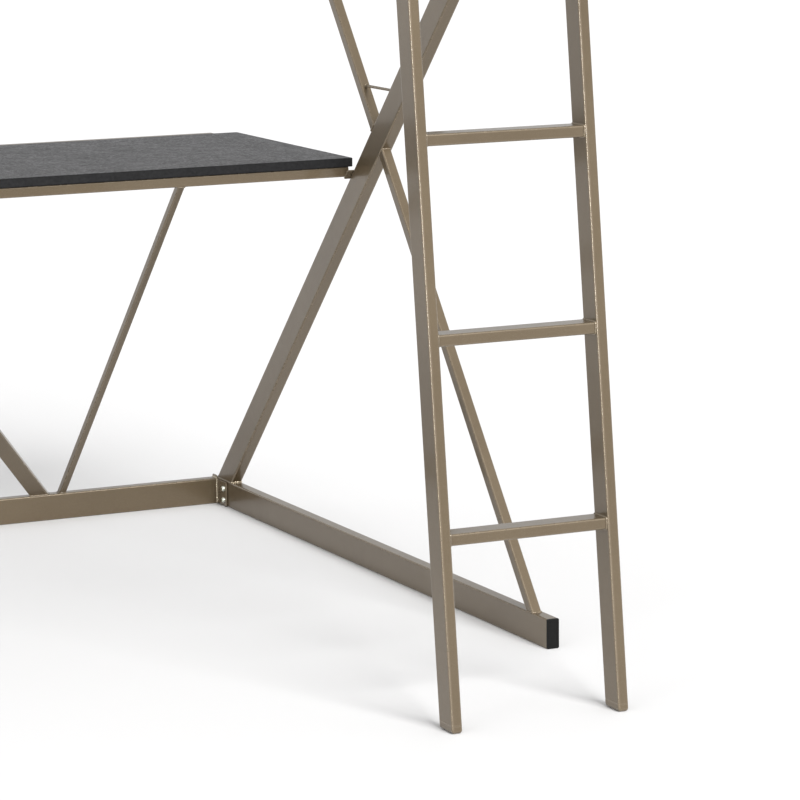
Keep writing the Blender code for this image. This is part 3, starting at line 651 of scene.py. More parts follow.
@dataclass
class Bar:
    """Straight rectangular tube, each of whose ends is cut along a plane.

    size is (width along across, other width). start and end are where the middle line meets
    the planes, whose normals are in cuts.
    """

    start: Array
    end: Array
    across: Array
    size: tuple[float, float]
    radius: float = 0.003
    cuts: tuple[Array | None, Array | None] = (None, None)

    @property
    def way(self) -> Array:
        """Direction from start to end."""
        return unit(self.end - self.start)

    @property
    def upper(self) -> Array:
        """Normal of the upper face of a bar that leans in a plane of Y and Z."""
        normal = unit(np.cross(self.way, ALONG_X))
        return normal if normal[2] > 0 else -normal

    def ring(self, end: int, thinner: float = 0.0) -> Array:
        """Section where the tube is cut.

        A section point q off the middle line goes along the tube by t = -(q . n) / (way . n),
        which puts it on the plane with normal n.

        Args:
            end: 0 for the start and 1 for the end.
            thinner: Taken off every side, for the inside of the wall.

        Returns:
            The ring's points.
        """
        flat = rounded_rectangle(
            self.size[0] - 2 * thinner, self.size[1] - 2 * thinner,
            max(self.radius - thinner, 0.0006),
        )
        rise = unit(np.cross(self.way, self.across))
        across = unit(np.cross(rise, self.way))
        q = flat[:, :1] * across + flat[:, 1:] * rise
        normal = self.way if self.cuts[end] is None else self.cuts[end]
        t = -(q @ normal) / (self.way @ normal)
        return (self.end if end else self.start) + q + t[:, None] * self.way

    def shell(self) -> Shell:
        """Surface of the tube, out along its outside and back along its inside.

        Two more rings, EASE in from the ends, keep what the ends do off the long faces.

        Returns:
            The surface.
        """
        ease = EASE * self.way
        rings = np.array([
            self.ring(0), self.ring(0) + ease, self.ring(1) - ease, self.ring(1),
            self.ring(1, WALL), self.ring(0, WALL),
        ])
        return Shell(
            rings.reshape(-1, 3), quads_between(len(rings), rings.shape[1], True)
        ).outward()

    def welds(self, radius: float = 0.0014, ends: tuple[int, ...] = (0, 1)) -> list[Shell]:
        """Weld bead round each end named.

        Args:
            radius: The bead's radius.
            ends: 0 for the start and 1 for the end.

        Returns:
            One surface for each end.
        """
        found = []
        for end in ends:
            normal = self.way if self.cuts[end] is None else self.cuts[end]
            found.append(bead(self.ring(end), unit(normal), radius))
        return found


def bead(ring: Array, normal: Array, radius: float, pitch: float = 0.0028) -> Shell:
    """Weld bead along a closed flat ring, with the ripples that the welding leaves.

    The ring is respaced evenly. At arc length s the bead is a circle of radius
    r (1 + 0.10 sin(2 pi s / pitch) + 0.08 sin(0.37 * 2 pi s / pitch)), square to the ring.

    Args:
        ring: Points of the closed ring.
        normal: Normal of the ring's plane.
        radius: The bead's mean radius r.
        pitch: Length of one ripple.

    Returns:
        The surface.
    """
    loop = np.vstack([ring, ring[:1]])
    length = np.concatenate([[0], np.cumsum(np.linalg.norm(np.diff(loop, axis=0), axis=1))])
    count = max(24, int(length[-1] / BEAD_STEP))
    s = np.arange(count) * length[-1] / count
    path = np.stack([np.interp(s, length, loop[:, axis]) for axis in range(3)], 1)
    tangent = unit(np.roll(path, -1, 0) - np.roll(path, 1, 0))
    out = unit(np.cross(tangent, normal))
    turns = max(1, round(length[-1] / pitch))
    wave = 2 * math.pi * turns * s / length[-1]
    slow = 2 * math.pi * max(1, round(0.37 * turns)) * s / length[-1]
    reach = radius * (1 + 0.10 * np.sin(wave) + 0.08 * np.sin(slow))
    t = np.arange(BEAD_SIDES) * 2 * math.pi / BEAD_SIDES
    offset = np.cos(t)[None, :, None] * out[:, None] + np.sin(t)[None, :, None] * normal
    rings = path[:, None] + offset * reach[:, None, None]
    return Shell(rings.reshape(-1, 3), quads_between(count, BEAD_SIDES, True)).outward()


def mark_edges(mesh: bpy.types.Mesh) -> None:
    """Stores how bent the surface is at each vertex, as the attribute named edge.

    With n the mean of the normals of the faces round a vertex, and f each of them, the value is
    (1 - min(n . f)) / FULL_BEND, kept within 0 and 1: a flat gives 0, and a rounded edge 1.

    Args:
        mesh: The mesh, which gets the attribute.
    """
    faces = np.empty(len(mesh.polygons) * 3, np.float32)
    mesh.polygons.foreach_get("normal", faces)
    counts = np.empty(len(mesh.polygons), np.int32)
    mesh.polygons.foreach_get("loop_total", counts)
    vertex = np.empty(len(mesh.loops), np.int32)
    mesh.loops.foreach_get("vertex_index", vertex)
    facing = np.repeat(faces.reshape(-1, 3), counts, axis=0)
    total = np.zeros((len(mesh.vertices), 3))
    np.add.at(total, vertex, facing)
    normal = total / np.maximum(np.linalg.norm(total, axis=1), 1e-9)[:, None]
    least = np.ones(len(mesh.vertices))
    np.minimum.at(least, vertex, np.einsum("ij,ij->i", facing, normal[vertex]))
    made = mesh.attributes.new("edge", "FLOAT", "POINT")
    made.data.foreach_set("value", np.clip((1 - least) / FULL_BEND, 0, 1).astype(np.float32))


def inset(outline: Array, amount: float) -> Array:
    """Closed outline moved inwards, each corner along the mean of its two sides' normals.

    A corner moves by amount * (n1 + n2) / (1 + n1 . n2), which keeps both sides parallel.

    Args:
        outline: The outline, anticlockwise.
        amount: How far its sides move.

    Returns:
        The smaller outline.
    """
    side = unit(np.roll(outline, -1, 0) - outline)
    normal = np.stack([-side[:, 1], side[:, 0]], 1)
    before = np.roll(normal, 1, 0)
    spread = 1 + np.einsum("ij,ij->i", normal, before)
    return outline + amount * (normal + before) / np.maximum(spread, 0.3)[:, None]


def rounded_outline(corners: list[tuple], radius: float, steps: int = 3) -> Array:
    """Closed flat outline whose corners are arcs.

    An arc's centre is on the corner's bisector, radius / sin(half its angle) away, and its
    points are radius along the ways spaced between its two touching points.

    Args:
        corners: The sharp outline, anticlockwise.
        radius: Radius of the arcs.
        steps: Parts in each arc.

    Returns:
        The outline's points.
    """
    corners = np.array(corners, float)
    before, after = np.roll(corners, 1, 0), np.roll(corners, -1, 0)
    a, b = unit(before - corners), unit(after - corners)
    half = np.arccos(np.clip(np.einsum("ij,ij->i", a, b), -1, 1)) / 2
    centre = corners + unit(a + b) * (radius / np.sin(half))[:, None]
    first = corners + a * (radius / np.tan(half))[:, None] - centre
    last = corners + b * (radius / np.tan(half))[:, None] - centre
    t = np.linspace(0, 1, steps + 1)[None, :, None]
    between = first[:, None] * (1 - t) + last[:, None] * t
    arc = centre[:, None] + unit(between) * radius
    return arc.reshape(-1, 2)


def plate(
    outline: Array, thick: float, centre: Array, across: Array, rise: Array,
    edge: float = 0.0005,
) -> Shell:
    """Flat plate with its edges broken.

    Args:
        outline: Its outline.
        thick: Its thickness, half to either side of centre.
        centre: Where the outline's (0, 0) is.
        across: Way of the outline's first coordinate.
        rise: Way of its second.
        edge: How much is taken off each edge.

    Returns:
        The surface.
    """
    smaller = inset(outline, edge)
    half = thick / 2
    return stack(
        [smaller, outline, outline, smaller], [-half, edge - half, half - edge, half],
        centre, across, rise,
    )


# ------------------------------------------------------------- places and parts


@dataclass
class Block:
    """A CAD node's box at rest."""

    name: str

    def __post_init__(self) -> None:
        """Reads the box from the frame."""
        low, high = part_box(self.name)
        self.low, self.high = np.array(low), np.array(high)
        self.middle = (self.low + self.high) / 2
        self.size = self.high - self.low

    def bar_along(self, axis: int, radius: float = 0.003) -> Bar:
        """Square-ended tube that fills the box along one axis.

        Args:
            axis: 0, 1 or 2 for X, Y or Z.
            radius: The tube's outer corner radius.

        Returns:
            The bar.
        """
        start, end = self.middle.copy(), self.middle.copy()
        start[axis], end[axis] = self.low[axis], self.high[axis]
        across = (ALONG_X, ALONG_Y, UP)[1 if axis == 0 else 0]
        other = {0: (1, 2), 1: (0, 2), 2: (0, 1)}[axis]
        return Bar(start, end, across, (self.size[other[0]], self.size[other[1]]), radius)


def steepness(run: float, rise: float, width: float) -> float:
    """Angle of a bar of that width whose opposite edges pass through two points.

    With R and b the distance and the steepness from one point to the other, R sin(a - b) is the
    width.
    """
    return math.atan2(rise, run) + math.asin(width / math.hypot(run, rise))


def leaning_bar(
    low_end: Block, high_end: Block, width: float, forward: bool, radius: float = 0.003
) -> Bar:
    """Bar in a plane of Y and Z with both ends cut level.

    Args:
        low_end: Box that the bar's foot fills.
        high_end: Box that its head fills; the same box for a bar in one piece.
        width: Across the bar, in the plane.
        forward: True where the bar leans towards the front as it rises.
        radius: Outer corner radius.

    Returns:
        The bar.
    """
    rise = high_end.high[2] - low_end.low[2]
    sign = -1 if forward else 1
    foot = low_end.high[1] if forward else low_end.low[1]
    head = high_end.low[1] if forward else high_end.high[1]
    angle = steepness(abs(head - foot), rise, width)
    half = width / 2 / math.sin(angle)
    x = low_end.middle[0]
    start = np.array([x, foot + sign * half, low_end.low[2]])
    end = np.array([x, head - sign * half, high_end.high[2]])
    return Bar(start, end, ALONG_X, (low_end.size[0], width), radius, (UP, UP))


class Paint:
    """The four finishes, each made once, the welds' rougher coat, and a pale coat that paints a
    highlight on two welds.
    """

    def __init__(self) -> None:
        """Builds every material."""
        self.coat = PowderCoat().material("champagne_powder_coat")
        self.weld = PowderCoat().material("coated_weld", 0.08)
        # Pale coat: a painted highlight for the welds at the end plate and the main diagonal's
        # foot.
        bright = PowderCoat((0.36, 0.30, 0.21), (0.52, 0.45, 0.34), roughness=0.24)
        self.highlight_weld = bright.material("weld_painted_highlight")
        self.laminate = DeskLaminate().material("black_desk_laminate")
        self.plug = PlugPlastic().material("black_plug_plastic")
        self.zinc = ZincPlate().material("zinc_plate")

    def of(self, slot: Slot) -> bpy.types.Material:
        """The material of one of the record's slots.

        Args:
            slot: The slot.

        Returns:
            Its material.
        """
        return {
            Slot.COAT: self.coat, Slot.LAMINATE: self.laminate, Slot.PLUG: self.plug,
            Slot.ZINC: self.zinc,
        }[slot]


@dataclass
class Assembly:
    """A group of pieces that ride on one body."""

    paint: Paint
    body: Body = Body.BED
    welds: list[Shell] = field(default_factory=list)

    def piece(
        self, name: str, shells: list[Shell], slot: Slot = Slot.COAT, replaces: str = "",
        material: bpy.types.Material | None = None, sharp: float = 32.0,
    ) -> bpy.types.Object:
        """Turns closed surfaces into a piece that rides on this assembly's body.

        Args:
            name: The piece's name.
            shells: Its surfaces, in the row frame.
            slot: The record's material slot.
            replaces: CAD node that it stands for, if any.
            material: Another material than the slot's.
            sharp: Edges that turn more than this, in degrees, are drawn sharp.

        Returns:
            The new object.
        """
        points, faces, base = [], [], 0
        for shell in shells:
            points.append(shell.points)
            faces.extend((shell.quads + base).tolist())
            faces.extend((cap + base).tolist() for cap in shell.caps)
            base += len(shell.points)
        mesh = bpy.data.meshes.new(name)
        mesh.from_pydata(np.vstack(points).tolist(), [], faces)
        mesh.polygons.foreach_set("use_smooth", np.ones(len(mesh.polygons), bool))
        mesh.set_sharp_from_angle(angle=math.radians(sharp))
        mark_edges(mesh)
        mesh.materials.append(material or self.paint.of(slot))
        made = bpy.data.objects.new(name, mesh)
        bpy.context.scene.collection.objects.link(made)
        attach(made, self.body.value)
        if replaces:
            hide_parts(replaces)
        log.info("%s: %d faces on %s", name, len(faces), self.body.value)
        return made

    def tube(self, node: str, bar: Bar, ends: tuple[int, ...] = (0, 1),
             bead_radius: float = 0.0014) -> Bar:
        """Piece for a tube node, with weld beads round the ends named.

        Args:
            node: CAD node that it replaces.
            bar: The tube.
            ends: Ends with a bead, 0 for the start and 1 for the end.
            bead_radius: The beads' radius.

        Returns:
            The bar, for its neighbours to use.
        """
        self.piece(f"{node}_tube", [bar.shell()], replaces=node)
        self.welds += bar.welds(bead_radius, ends)
        return bar

    def finish_welds(self, name: str) -> None:
        """Makes one piece of all the beads gathered so far.

        Args:
            name: The piece's name.
        """
        if self.welds:
            self.piece(name, self.welds, material=self.paint.weld, sharp=60.0)
            self.welds = []

    def end_cap(
        self, name: str, centre: Array, outward: Array, across: Array,
        size: tuple[float, float], node: str = "", slot: Slot = Slot.PLUG,
        thick: float = 0.0025, plug: float = 0.012,
    ) -> None:
        """Moulded cap on a tube's end: a flange with a sunk panel, and the plug inside.

        Args:
            name: The piece's name.
            centre: Middle of the tube's end face, where the flange begins.
            outward: Way out of the tube.
            across: Way along the first of size.
            size: The tube's outer widths.
            node: CAD node it replaces, if any.
            slot: Its finish.
            thick: Flange's thickness.
            plug: Length inside the tube.
        """
        rise = unit(np.cross(outward, across))
        wide, high = size
        room = 2 * (WALL + 0.0004)
        steps = [  # how much smaller than the tube, corner radius, and depth
            (room, 0.0012, -plug), (room, 0.0012, 0.0),
            (0.0, 0.003, 0.0), (0.0, 0.003, thick - 0.0008),
            (0.0010, 0.0026, thick - 0.0002), (0.0022, 0.0020, thick),
            (0.0070, 0.0014, thick), (0.0080, 0.0012, thick - 0.0007),
        ]
        outlines = [rounded_rectangle(wide - less, high - less, r) for less, r, _ in steps]
        depths = [depth for _, _, depth in steps]
        self.piece(name, [stack(outlines, depths, centre, across, rise)], slot, node)

    def cap_pair(
        self, name: str, bar: Bar, thick: float, slot: Slot = Slot.PLUG, plug: float = 0.012
    ) -> None:
        """Caps on both ends of a tube that runs along the bed.

        Args:
            name: The pieces' name, before the end's.
            bar: The tube.
            thick: Flange's thickness.
            slot: Their finish.
            plug: Length inside the tube.
        """
        for side in Side:
            end = bar.end if side is Side.RIGHT else bar.start
            self.end_cap(
                f"{name}_{side.word}", end, side.value * ALONG_X, ALONG_Y, bar.size,
                slot=slot, thick=thick, plug=plug,
            )


@dataclass
class EndFrame(Assembly):
    """Welded X-shaped end: skid, diagonals, rod, upper rail, plate, bolts and guard."""

    side: Side = Side.RIGHT
    counter_width: float = 0.0181
    bend: float = 0.060
    rod_bead: float = 0.0009
    seam_above_floor: float = 0.0024
    head_radius: float = 0.0056
    head_high: float = 0.0042
    washer: float = 0.0010
    shank_radius: float = 0.0029

    def build(self) -> None:
        """Makes every piece of the end frame."""
        word = self.side.word
        self.main_high = Block(f"skid_{word}").size[2]
        self.skid(word)
        self.diagonals(word)
        self.plate(word)
        self.guard(word)
        self.finish_welds(f"end_frame_{word}_welds")

    def skid(self, word: str) -> None:
        """Floor skid, its two caps, and the upper end rail.

        Args:
            word: The end's name, left or right.
        """
        skid = Block(f"skid_{word}").bar_along(1)
        self.tube(f"skid_{word}", skid, ends=())
        for end, outward, centre in (
            ("front", -ALONG_Y, skid.start), ("rear", ALONG_Y, skid.end)
        ):
            self.end_cap(
                f"skid_cap_{end}_{word}_moulding", centre + outward * GAP, outward, ALONG_X,
                skid.size, f"skid_cap_{end}_{word}",
            )
        self.tube(f"end_rail_{word}", Block(f"end_rail_{word}").bar_along(1))

    def diagonals(self, word: str) -> None:
        """Main diagonal, the counter diagonal's two halves, and the rod between them.

        Args:
            word: The end's name, left or right.
        """
        node = Block(f"main_diagonal_{word}")
        main = self.tube(
            f"main_diagonal_{word}", leaning_bar(node, node, self.main_high, True),
            bead_radius=0.0018,
        )
        lower = Block(f"counter_diagonal_lower_{word}")
        upper = Block(f"counter_diagonal_upper_{word}")
        whole = leaning_bar(lower, upper, self.counter_width, False, PIPE_CORNER)
        normal = main.upper
        for sign, part in ((-1, "lower"), (1, "upper")):
            face = main.start + sign * normal * (self.main_high / 2 + GAP)
            t = ((face - whole.start) @ normal) / (whole.way @ normal)
            meet = whole.start + t * whole.way
            if sign < 0:
                start, end, cuts = whole.start, meet, (UP, normal)
            else:
                start, end, cuts = meet, whole.end, (normal, UP)
            bar = Bar(start, end, ALONG_X, whole.size, PIPE_CORNER, cuts)
            self.tube(f"counter_diagonal_{part}_{word}", bar)
        rod = Block(f"gap_rod_{word}")
        radius = rod.size[2] / 2
        run = np.array([rod.low[1], rod.middle[1], rod.high[1]])
        path = np.stack([np.full(3, rod.middle[0]), run, np.full(3, rod.middle[2])], 1)
        self.piece(
            f"gap_rod_{word}_bar", [sweep(circle(radius, 20), path, ALONG_X)],
            replaces=f"gap_rod_{word}",
        )
        for y in (rod.low[1], rod.high[1]):
            centre = np.array([rod.middle[0], y, rod.middle[2]])
            ring = set_flat(circle(radius, 24), centre, ALONG_X, UP)
            self.welds.append(bead(ring, ALONG_Y, self.rod_bead, 0.003))

    def plate(self, word: str) -> None:
        """End plate with its ear, and its two button-head bolts with washers.

        Args:
            word: The end's name, left or right.
        """
        node = Block(f"end_plate_{word}")
        length, ear, step = node.size[1], 0.0155, 0.0045
        low, high, top = node.low[2], self.main_high - 0.0015, node.high[2]
        corners = [
            (0, low), (length, low), (length, top), (length - ear, top),
            (length - ear - step, high), (0, high),
        ]
        outline = rounded_outline(corners, 0.0016)
        centre = np.array([node.middle[0], node.low[1], 0.0])
        self.piece(
            f"end_plate_{word}_steel", [plate(outline, node.size[0], centre, ALONG_Y, UP)],
            replaces=f"end_plate_{word}",
        )
        rail = Block("floor_rail_rear")
        x = node.middle[0] - self.side.value * (node.size[0] / 2 + GAP)
        seam = rounded_rectangle(rail.size[1], rail.size[2], 0.003)
        ring = set_flat(seam, np.array([x, rail.middle[1], rail.middle[2]]), ALONG_Y, UP)
        ring[:, 2] = np.maximum(ring[:, 2], self.seam_above_floor)
        # Both beads take the pale coat, a painted highlight.
        highlighted_beads = [bead(ring, ALONG_X, 0.0016), self.foot_weld(word)]
        self.piece(f"plate_weld_{word}", highlighted_beads, material=self.paint.highlight_weld, sharp=60.0)
        inward = -self.side.value * ALONG_X
        for level in ("upper", "lower"):
            bolt = Block(f"plate_bolt_{level}_{word}")
            seat = np.array([node.middle[0], bolt.middle[1], bolt.middle[2]])
            seat = seat + inward * (node.size[0] / 2 + GAP)
            self.bolt(f"plate_bolt_{level}_{word}", seat, inward, bolt.size[0])

    def foot_weld(self, word: str) -> Shell:
        """Run of weld over the front edge of the main diagonal's foot.

        Its middle line at x is y = y0 + 0.5 mm sin(2 pi x / 5 mm), just over the skid.

        Args:
            word: The end's name, left or right.

        Returns:
            The surface.
        """
        skid = Block(f"skid_{word}")
        main = Block(f"main_diagonal_{word}")
        bar = leaning_bar(main, main, self.main_high, True)
        reach = skid.size[0] / 2 - 0.003
        x = skid.middle[0] + np.linspace(-reach, reach, 21)
        y = 2 * bar.start[1] - main.high[1] - 0.0008 + 0.0005 * np.sin(2 * math.pi * x / 0.005)
        z = np.full(len(x), skid.high[2] + 0.0011)
        return sweep(circle(0.0021, 12), np.stack([x, y, z], 1), UP)

    def bolt(self, node: str, seat: Array, outward: Array, length: float) -> None:
        """Button-head bolt: washer, domed head with a hexagon socket, and its shank.

        The dome's radius at a share v of its height is 0.93 R sqrt(1 - 0.72 (0.96 v)^2).

        Args:
            node: CAD node that it replaces.
            seat: Middle of the washer's face on the plate.
            outward: Way from the plate to the head.
            length: From the shank's tip to the head's top.
        """
        washer, radius, high = self.washer, self.head_radius, self.head_high - self.washer
        steps = [  # radius and depth: shank, washer, dome and the socket's rim
            (self.shank_radius, self.head_high - length), (self.shank_radius, 0.0),
            (radius, 0.0), (radius, 0.0006), (radius * 0.97, 0.0009), (radius * 0.93, washer),
        ]
        for v in np.linspace(0.15, 0.93, 6):
            wide = radius * 0.93 * math.sqrt(1 - 0.72 * (0.96 * v) ** 2)
            steps.append((wide, washer + v * high))
        steps.append((0.0030, washer + high))
        socket = hexagon(0.0040)
        outlines = [circle(wide, 36) for wide, _ in steps] + [socket, socket * 0.96]
        depths = [depth for _, depth in steps] + [washer + 0.98 * high, 0.0016]
        head = stack(outlines, depths, seat, ALONG_Y, np.cross(outward, ALONG_Y))
        self.piece(f"{node}_head", [head], Slot.ZINC, node)

    def guard(self, word: str) -> None:
        """Guard hoop and its bar over the end rail.

        Args:
            word: The end's name, left or right.
        """
        Guard.rail_pair(self, word, 1, self.bend)


@dataclass
class Guard(Assembly):
    """Hoops and bars along the front and the rear of the deck."""

    bend: float = 0.060

    def build(self) -> None:
        """Makes the front and rear guards."""
        for word in ("front", "rear"):
            Guard.rail_pair(self, word, 0, self.bend)
        self.finish_welds("long_guard_welds")

    @staticmethod
    def rail_pair(group: Assembly, word: str, axis: int, bend: float) -> None:
        """Guard hoop and the bar inside it.

        Args:
            group: Assembly that they belong to.
            word: Where the guard is: front, rear, left or right.
            axis: Axis that they run along, 0 or 1.
            bend: Middle line radius of the hoop's bends.
        """
        Guard.hoop(group, f"guard_hoop_{word}", axis, bend)
        bar = f"guard_bar_{word}"
        group.tube(bar, Block(bar).bar_along(axis, PIPE_CORNER), bead_radius=0.0012)

    @staticmethod
    def hoop(group: Assembly, node: str, axis: int, bend: float) -> None:
        """Square tube bent into an upside-down U that stands on a rail.

        Args:
            group: Assembly that the hoop belongs to.
            node: CAD node that it replaces.
            axis: Axis that its top runs along, 0 or 1.
            bend: Middle line radius of its two bends.
        """
        box = Block(node)
        width = box.size[1 - axis]
        across = (ALONG_Y, ALONG_X)[axis]
        low, high = box.low + width / 2, box.high - width / 2
        feet = [box.middle.copy(), box.middle.copy()]
        feet[0][axis], feet[1][axis] = low[axis], high[axis]
        corners = []
        for foot, order in ((feet[0], (0, 1)), (feet[1], (1, 0))):
            ends = [(*foot[:2], box.low[2]), (*foot[:2], high[2])]
            corners += [ends[number] for number in order]
        path = bent_path(corners, bend, 14)
        section = rounded_rectangle(width, width, 0.0028)
        wall = rounded_rectangle(width - 2 * WALL, width - 2 * WALL, 0.0013)
        group.piece(f"{node}_tube", [sweep(section, path, across, wall)], replaces=node)
        for foot in feet:
            spot = np.array([foot[0], foot[1], box.low[2]])
            group.welds.append(bead(set_flat(section, spot, ALONG_X, ALONG_Y), UP, 0.0014))


@dataclass
class LongRails(Assembly):
    """Rear floor rail, and the side rails with the ledges that carry the deck."""

    ledge_thick: float = 0.003
    ledge_top: float = 0.030

    def build(self) -> None:
        """Makes the three long rails."""
        self.tube("floor_rail_rear", Block("floor_rail_rear").bar_along(0), ends=())
        thick = Block("end_rail_left").size[0]
        for word, inward in (("front", 1), ("rear", -1)):
            box = Block(f"side_rail_{word}")
            outer = box.low[1] if inward > 0 else box.high[1]
            rail = box.bar_along(0)
            middle = outer + inward * thick / 2
            rail.start[1] = rail.end[1] = middle
            rail.size = (thick, box.size[2])
            wide = box.size[1] - thick + 0.001
            top = box.high[2] - self.ledge_top
            centre = np.array([0.0, outer + inward * (box.size[1] - wide / 2), top])
            centre[2] -= self.ledge_thick / 2
            length = 2 * Block("deck_panel_right").high[0]
            flat = rounded_rectangle(length, self.ledge_thick, 0.0010, 3)
            ledge = stack(
                [inset(flat, 0.0004), flat, flat, flat, flat, inset(flat, 0.0004)],
                [-wide / 2, 0.0004 - wide / 2, EASE - wide / 2, wide / 2 - EASE,
                 wide / 2 - 0.0004, wide / 2],
                centre, ALONG_X, UP,
            )
            self.piece(f"side_rail_{word}_tube", [rail.shell(), ledge],
                       replaces=f"side_rail_{word}")
            self.cap_pair(f"side_rail_cap_{word}", rail, 0.0018)


@dataclass
class Deck(Assembly):
    """Two welded panels of flat strips, and the rail under their middle."""

    strip_wide: float = 0.030
    strip_thick: float = 0.003
    strips: int = 8
    runner_inset: float = 0.187

    def build(self) -> None:
        """Makes the centre rail and both panels."""
        centre = Block("deck_centre_rail").bar_along(0, PIPE_CORNER)
        self.tube("deck_centre_rail", centre, ends=())
        for side in Side:
            self.panel(side)

    def panel(self, side: Side) -> None:
        """One panel: strips across the bed, on two runners that lie along it.

        Args:
            side: The half of the bed that it covers.
        """
        node = f"deck_panel_{side.word}"
        box = Block(node)
        half = self.strip_wide / 2
        rows = np.linspace(box.low[0] + half, box.high[0] - half, self.strips)
        flat = rounded_rectangle(self.strip_wide, self.strip_thick, 0.0009, 3)
        z = box.high[2] - self.strip_thick / 2
        shells = [
            self.strip(flat, np.array([x, box.low[1], z]), np.array([x, box.high[1], z]), ALONG_X)
            for x in rows
        ]
        z = box.low[2] + self.strip_thick / 2
        for y in (box.low[1] + self.runner_inset, box.high[1] - self.runner_inset):
            start, end = np.array([box.low[0], y, z]), np.array([box.high[0], y, z])
            shells.append(self.strip(flat, start, end, ALONG_Y))
        self.piece(f"{node}_strips", shells, replaces=node)

    def strip(self, flat: Array, start: Array, end: Array, across: Array) -> Shell:
        """Flat bar with its ends' edges broken.

        Args:
            flat: Its section.
            start: Where its middle line starts.
            end: Where it ends.
            across: Way of the section's first coordinate.

        Returns:
            The surface.
        """
        way = unit(end - start)
        edge = 0.0006
        length = float(np.linalg.norm(end - start))
        steps = np.array([0, edge, edge + EASE, length - edge - EASE, length - edge, length])
        centre = start + steps[:, None] * way
        smaller = inset(flat, 0.0004)
        scale = [smaller, flat, flat, flat, flat, smaller]
        rise = np.cross(way, across)
        return loft(np.array([set_flat(f, c, across, rise) for c, f in zip(centre, scale)]))


@dataclass
class Desk(Assembly):
    """Desk board, the rails under it, the slanted truss and the rear props."""

    brace_face: float = 0.031
    brace_inset: float = 0.3695
    brace_parting: float = 0.0005
    plate_room: float = 0.0036
    rail_short_of_board: float = 0.0075
    tab_thick: float = 0.003
    tab_long: float = 0.030
    tab_high: float = 0.022

    def build(self) -> None:
        """Makes the desk."""
        self.board()
        self.rails()
        self.truss()
        self.finish_welds("desk_welds")

    def board(self) -> None:
        """Laminated board with softened edges, and the shadow line of its edge band."""
        box = Block("desk_top")
        wide, deep, thick = box.size
        lower = [  # how far in from the side, and how far up from the underside
            (0.0030, 0.0), (0.0010, 0.0), (0.0003, 0.0003), (0.0, 0.0010), (0.0, 0.0012),
            (0.0002, 0.00135), (0.0, 0.0015),
        ]
        steps = lower + [(inward, thick - up) for inward, up in reversed(lower)]
        outlines = [
            rounded_rectangle(wide - 2 * i, deep - 2 * i, 0.0025 - min(i, 0.001)) for i, _ in steps
        ]
        centre = np.array([box.middle[0], box.middle[1], box.low[2]])
        shell = stack(outlines, [d for _, d in steps], centre, ALONG_X, ALONG_Y)
        self.piece("desk_board", [shell], Slot.LAMINATE, "desk_top")

    def rails(self) -> None:
        """Front rail with its tabs, rear rail and side rails."""
        box = Block("desk_front_rail")
        side_rail = Block("desk_side_rail_left")
        square = side_rail.size[0]
        front = side_rail.low[1] - GAP - square
        reach = Block("desk_top").high[0] - self.rail_short_of_board
        z = side_rail.middle[2]
        y = front + square / 2
        rail = Bar(
            np.array([-reach, y, z]), np.array([reach, y, z]), ALONG_Y, (square, square),
            PIPE_CORNER,
        )
        shells = [rail.shell()]
        main = Block("main_diagonal_right")
        slope = leaning_bar(main, main, Block("skid_right").size[2], True)
        normal = slope.upper
        tab_z = side_rail.low[2] + self.tab_thick
        face = slope.start + normal * (Block("skid_right").size[2] / 2)
        t = (tab_z - face[2]) / slope.way[2]
        spot = face + t * slope.way + normal * (2 * GAP + self.tab_thick / 2)
        a, b = self.tab_long / 2, self.tab_high / 2
        flat = rounded_outline([(-a, -b), (a, -b), (a, b), (-a, b)], 0.003)
        for side in Side:
            centre = spot.copy()
            centre[0] = side.value * (box.high[0] - self.tab_long / 2)
            shells.append(plate(flat, self.tab_thick, centre, ALONG_X, slope.way))
        self.piece("desk_front_rail_tube", shells, replaces="desk_front_rail")
        self.cap_pair("desk_front_rail_cap", rail, 0.0012, Slot.COAT, 0.006)
        for side in Side:
            node = f"desk_side_rail_{side.word}"
            self.tube(node, Block(node).bar_along(1, PIPE_CORNER))
        rear = Block("desk_rear_rail").bar_along(0, PIPE_CORNER)
        self.tube("desk_rear_rail", rear, ends=())
        self.cap_pair("desk_rear_rail_cap", rear, 0.0015, Slot.COAT, 0.006)

    def truss(self) -> None:
        """Struts and braces in one slanted plane, and the props at the rear."""
        for side in Side:
            node = Block(f"desk_strut_{side.word}")
            strut = self.tube(
                f"desk_strut_{side.word}", leaning_bar(node, node, node.size[0], True, 0.0022),
                bead_radius=0.0012,
            )
            inner = Block("floor_rail_rear").high[0] + self.plate_room
            rise = float(np.linalg.norm(strut.end - strut.start))
            foot_x = inner - self.brace_inset
            half = self.brace_face / 2
            for _ in range(20):  # half and the brace's slope settle together
                run = foot_x - half - self.brace_parting
                half = self.brace_face / 2 / math.sin(math.atan2(rise, run))
            start, end = strut.start.copy(), strut.end.copy()
            start[0] = side.value * foot_x
            end[0] = side.value * (self.brace_parting + half)
            outward = np.cross(strut.way, ALONG_X)
            self.tube(
                f"desk_brace_{side.word}",
                Bar(start, end, outward, (node.size[0], self.brace_face), PIPE_CORNER, (UP, UP)),
            )
            node = Block(f"desk_prop_{side.word}")
            self.tube(
                f"desk_prop_{side.word}",
                leaning_bar(node, node, node.size[0], True, PIPE_CORNER),
            )


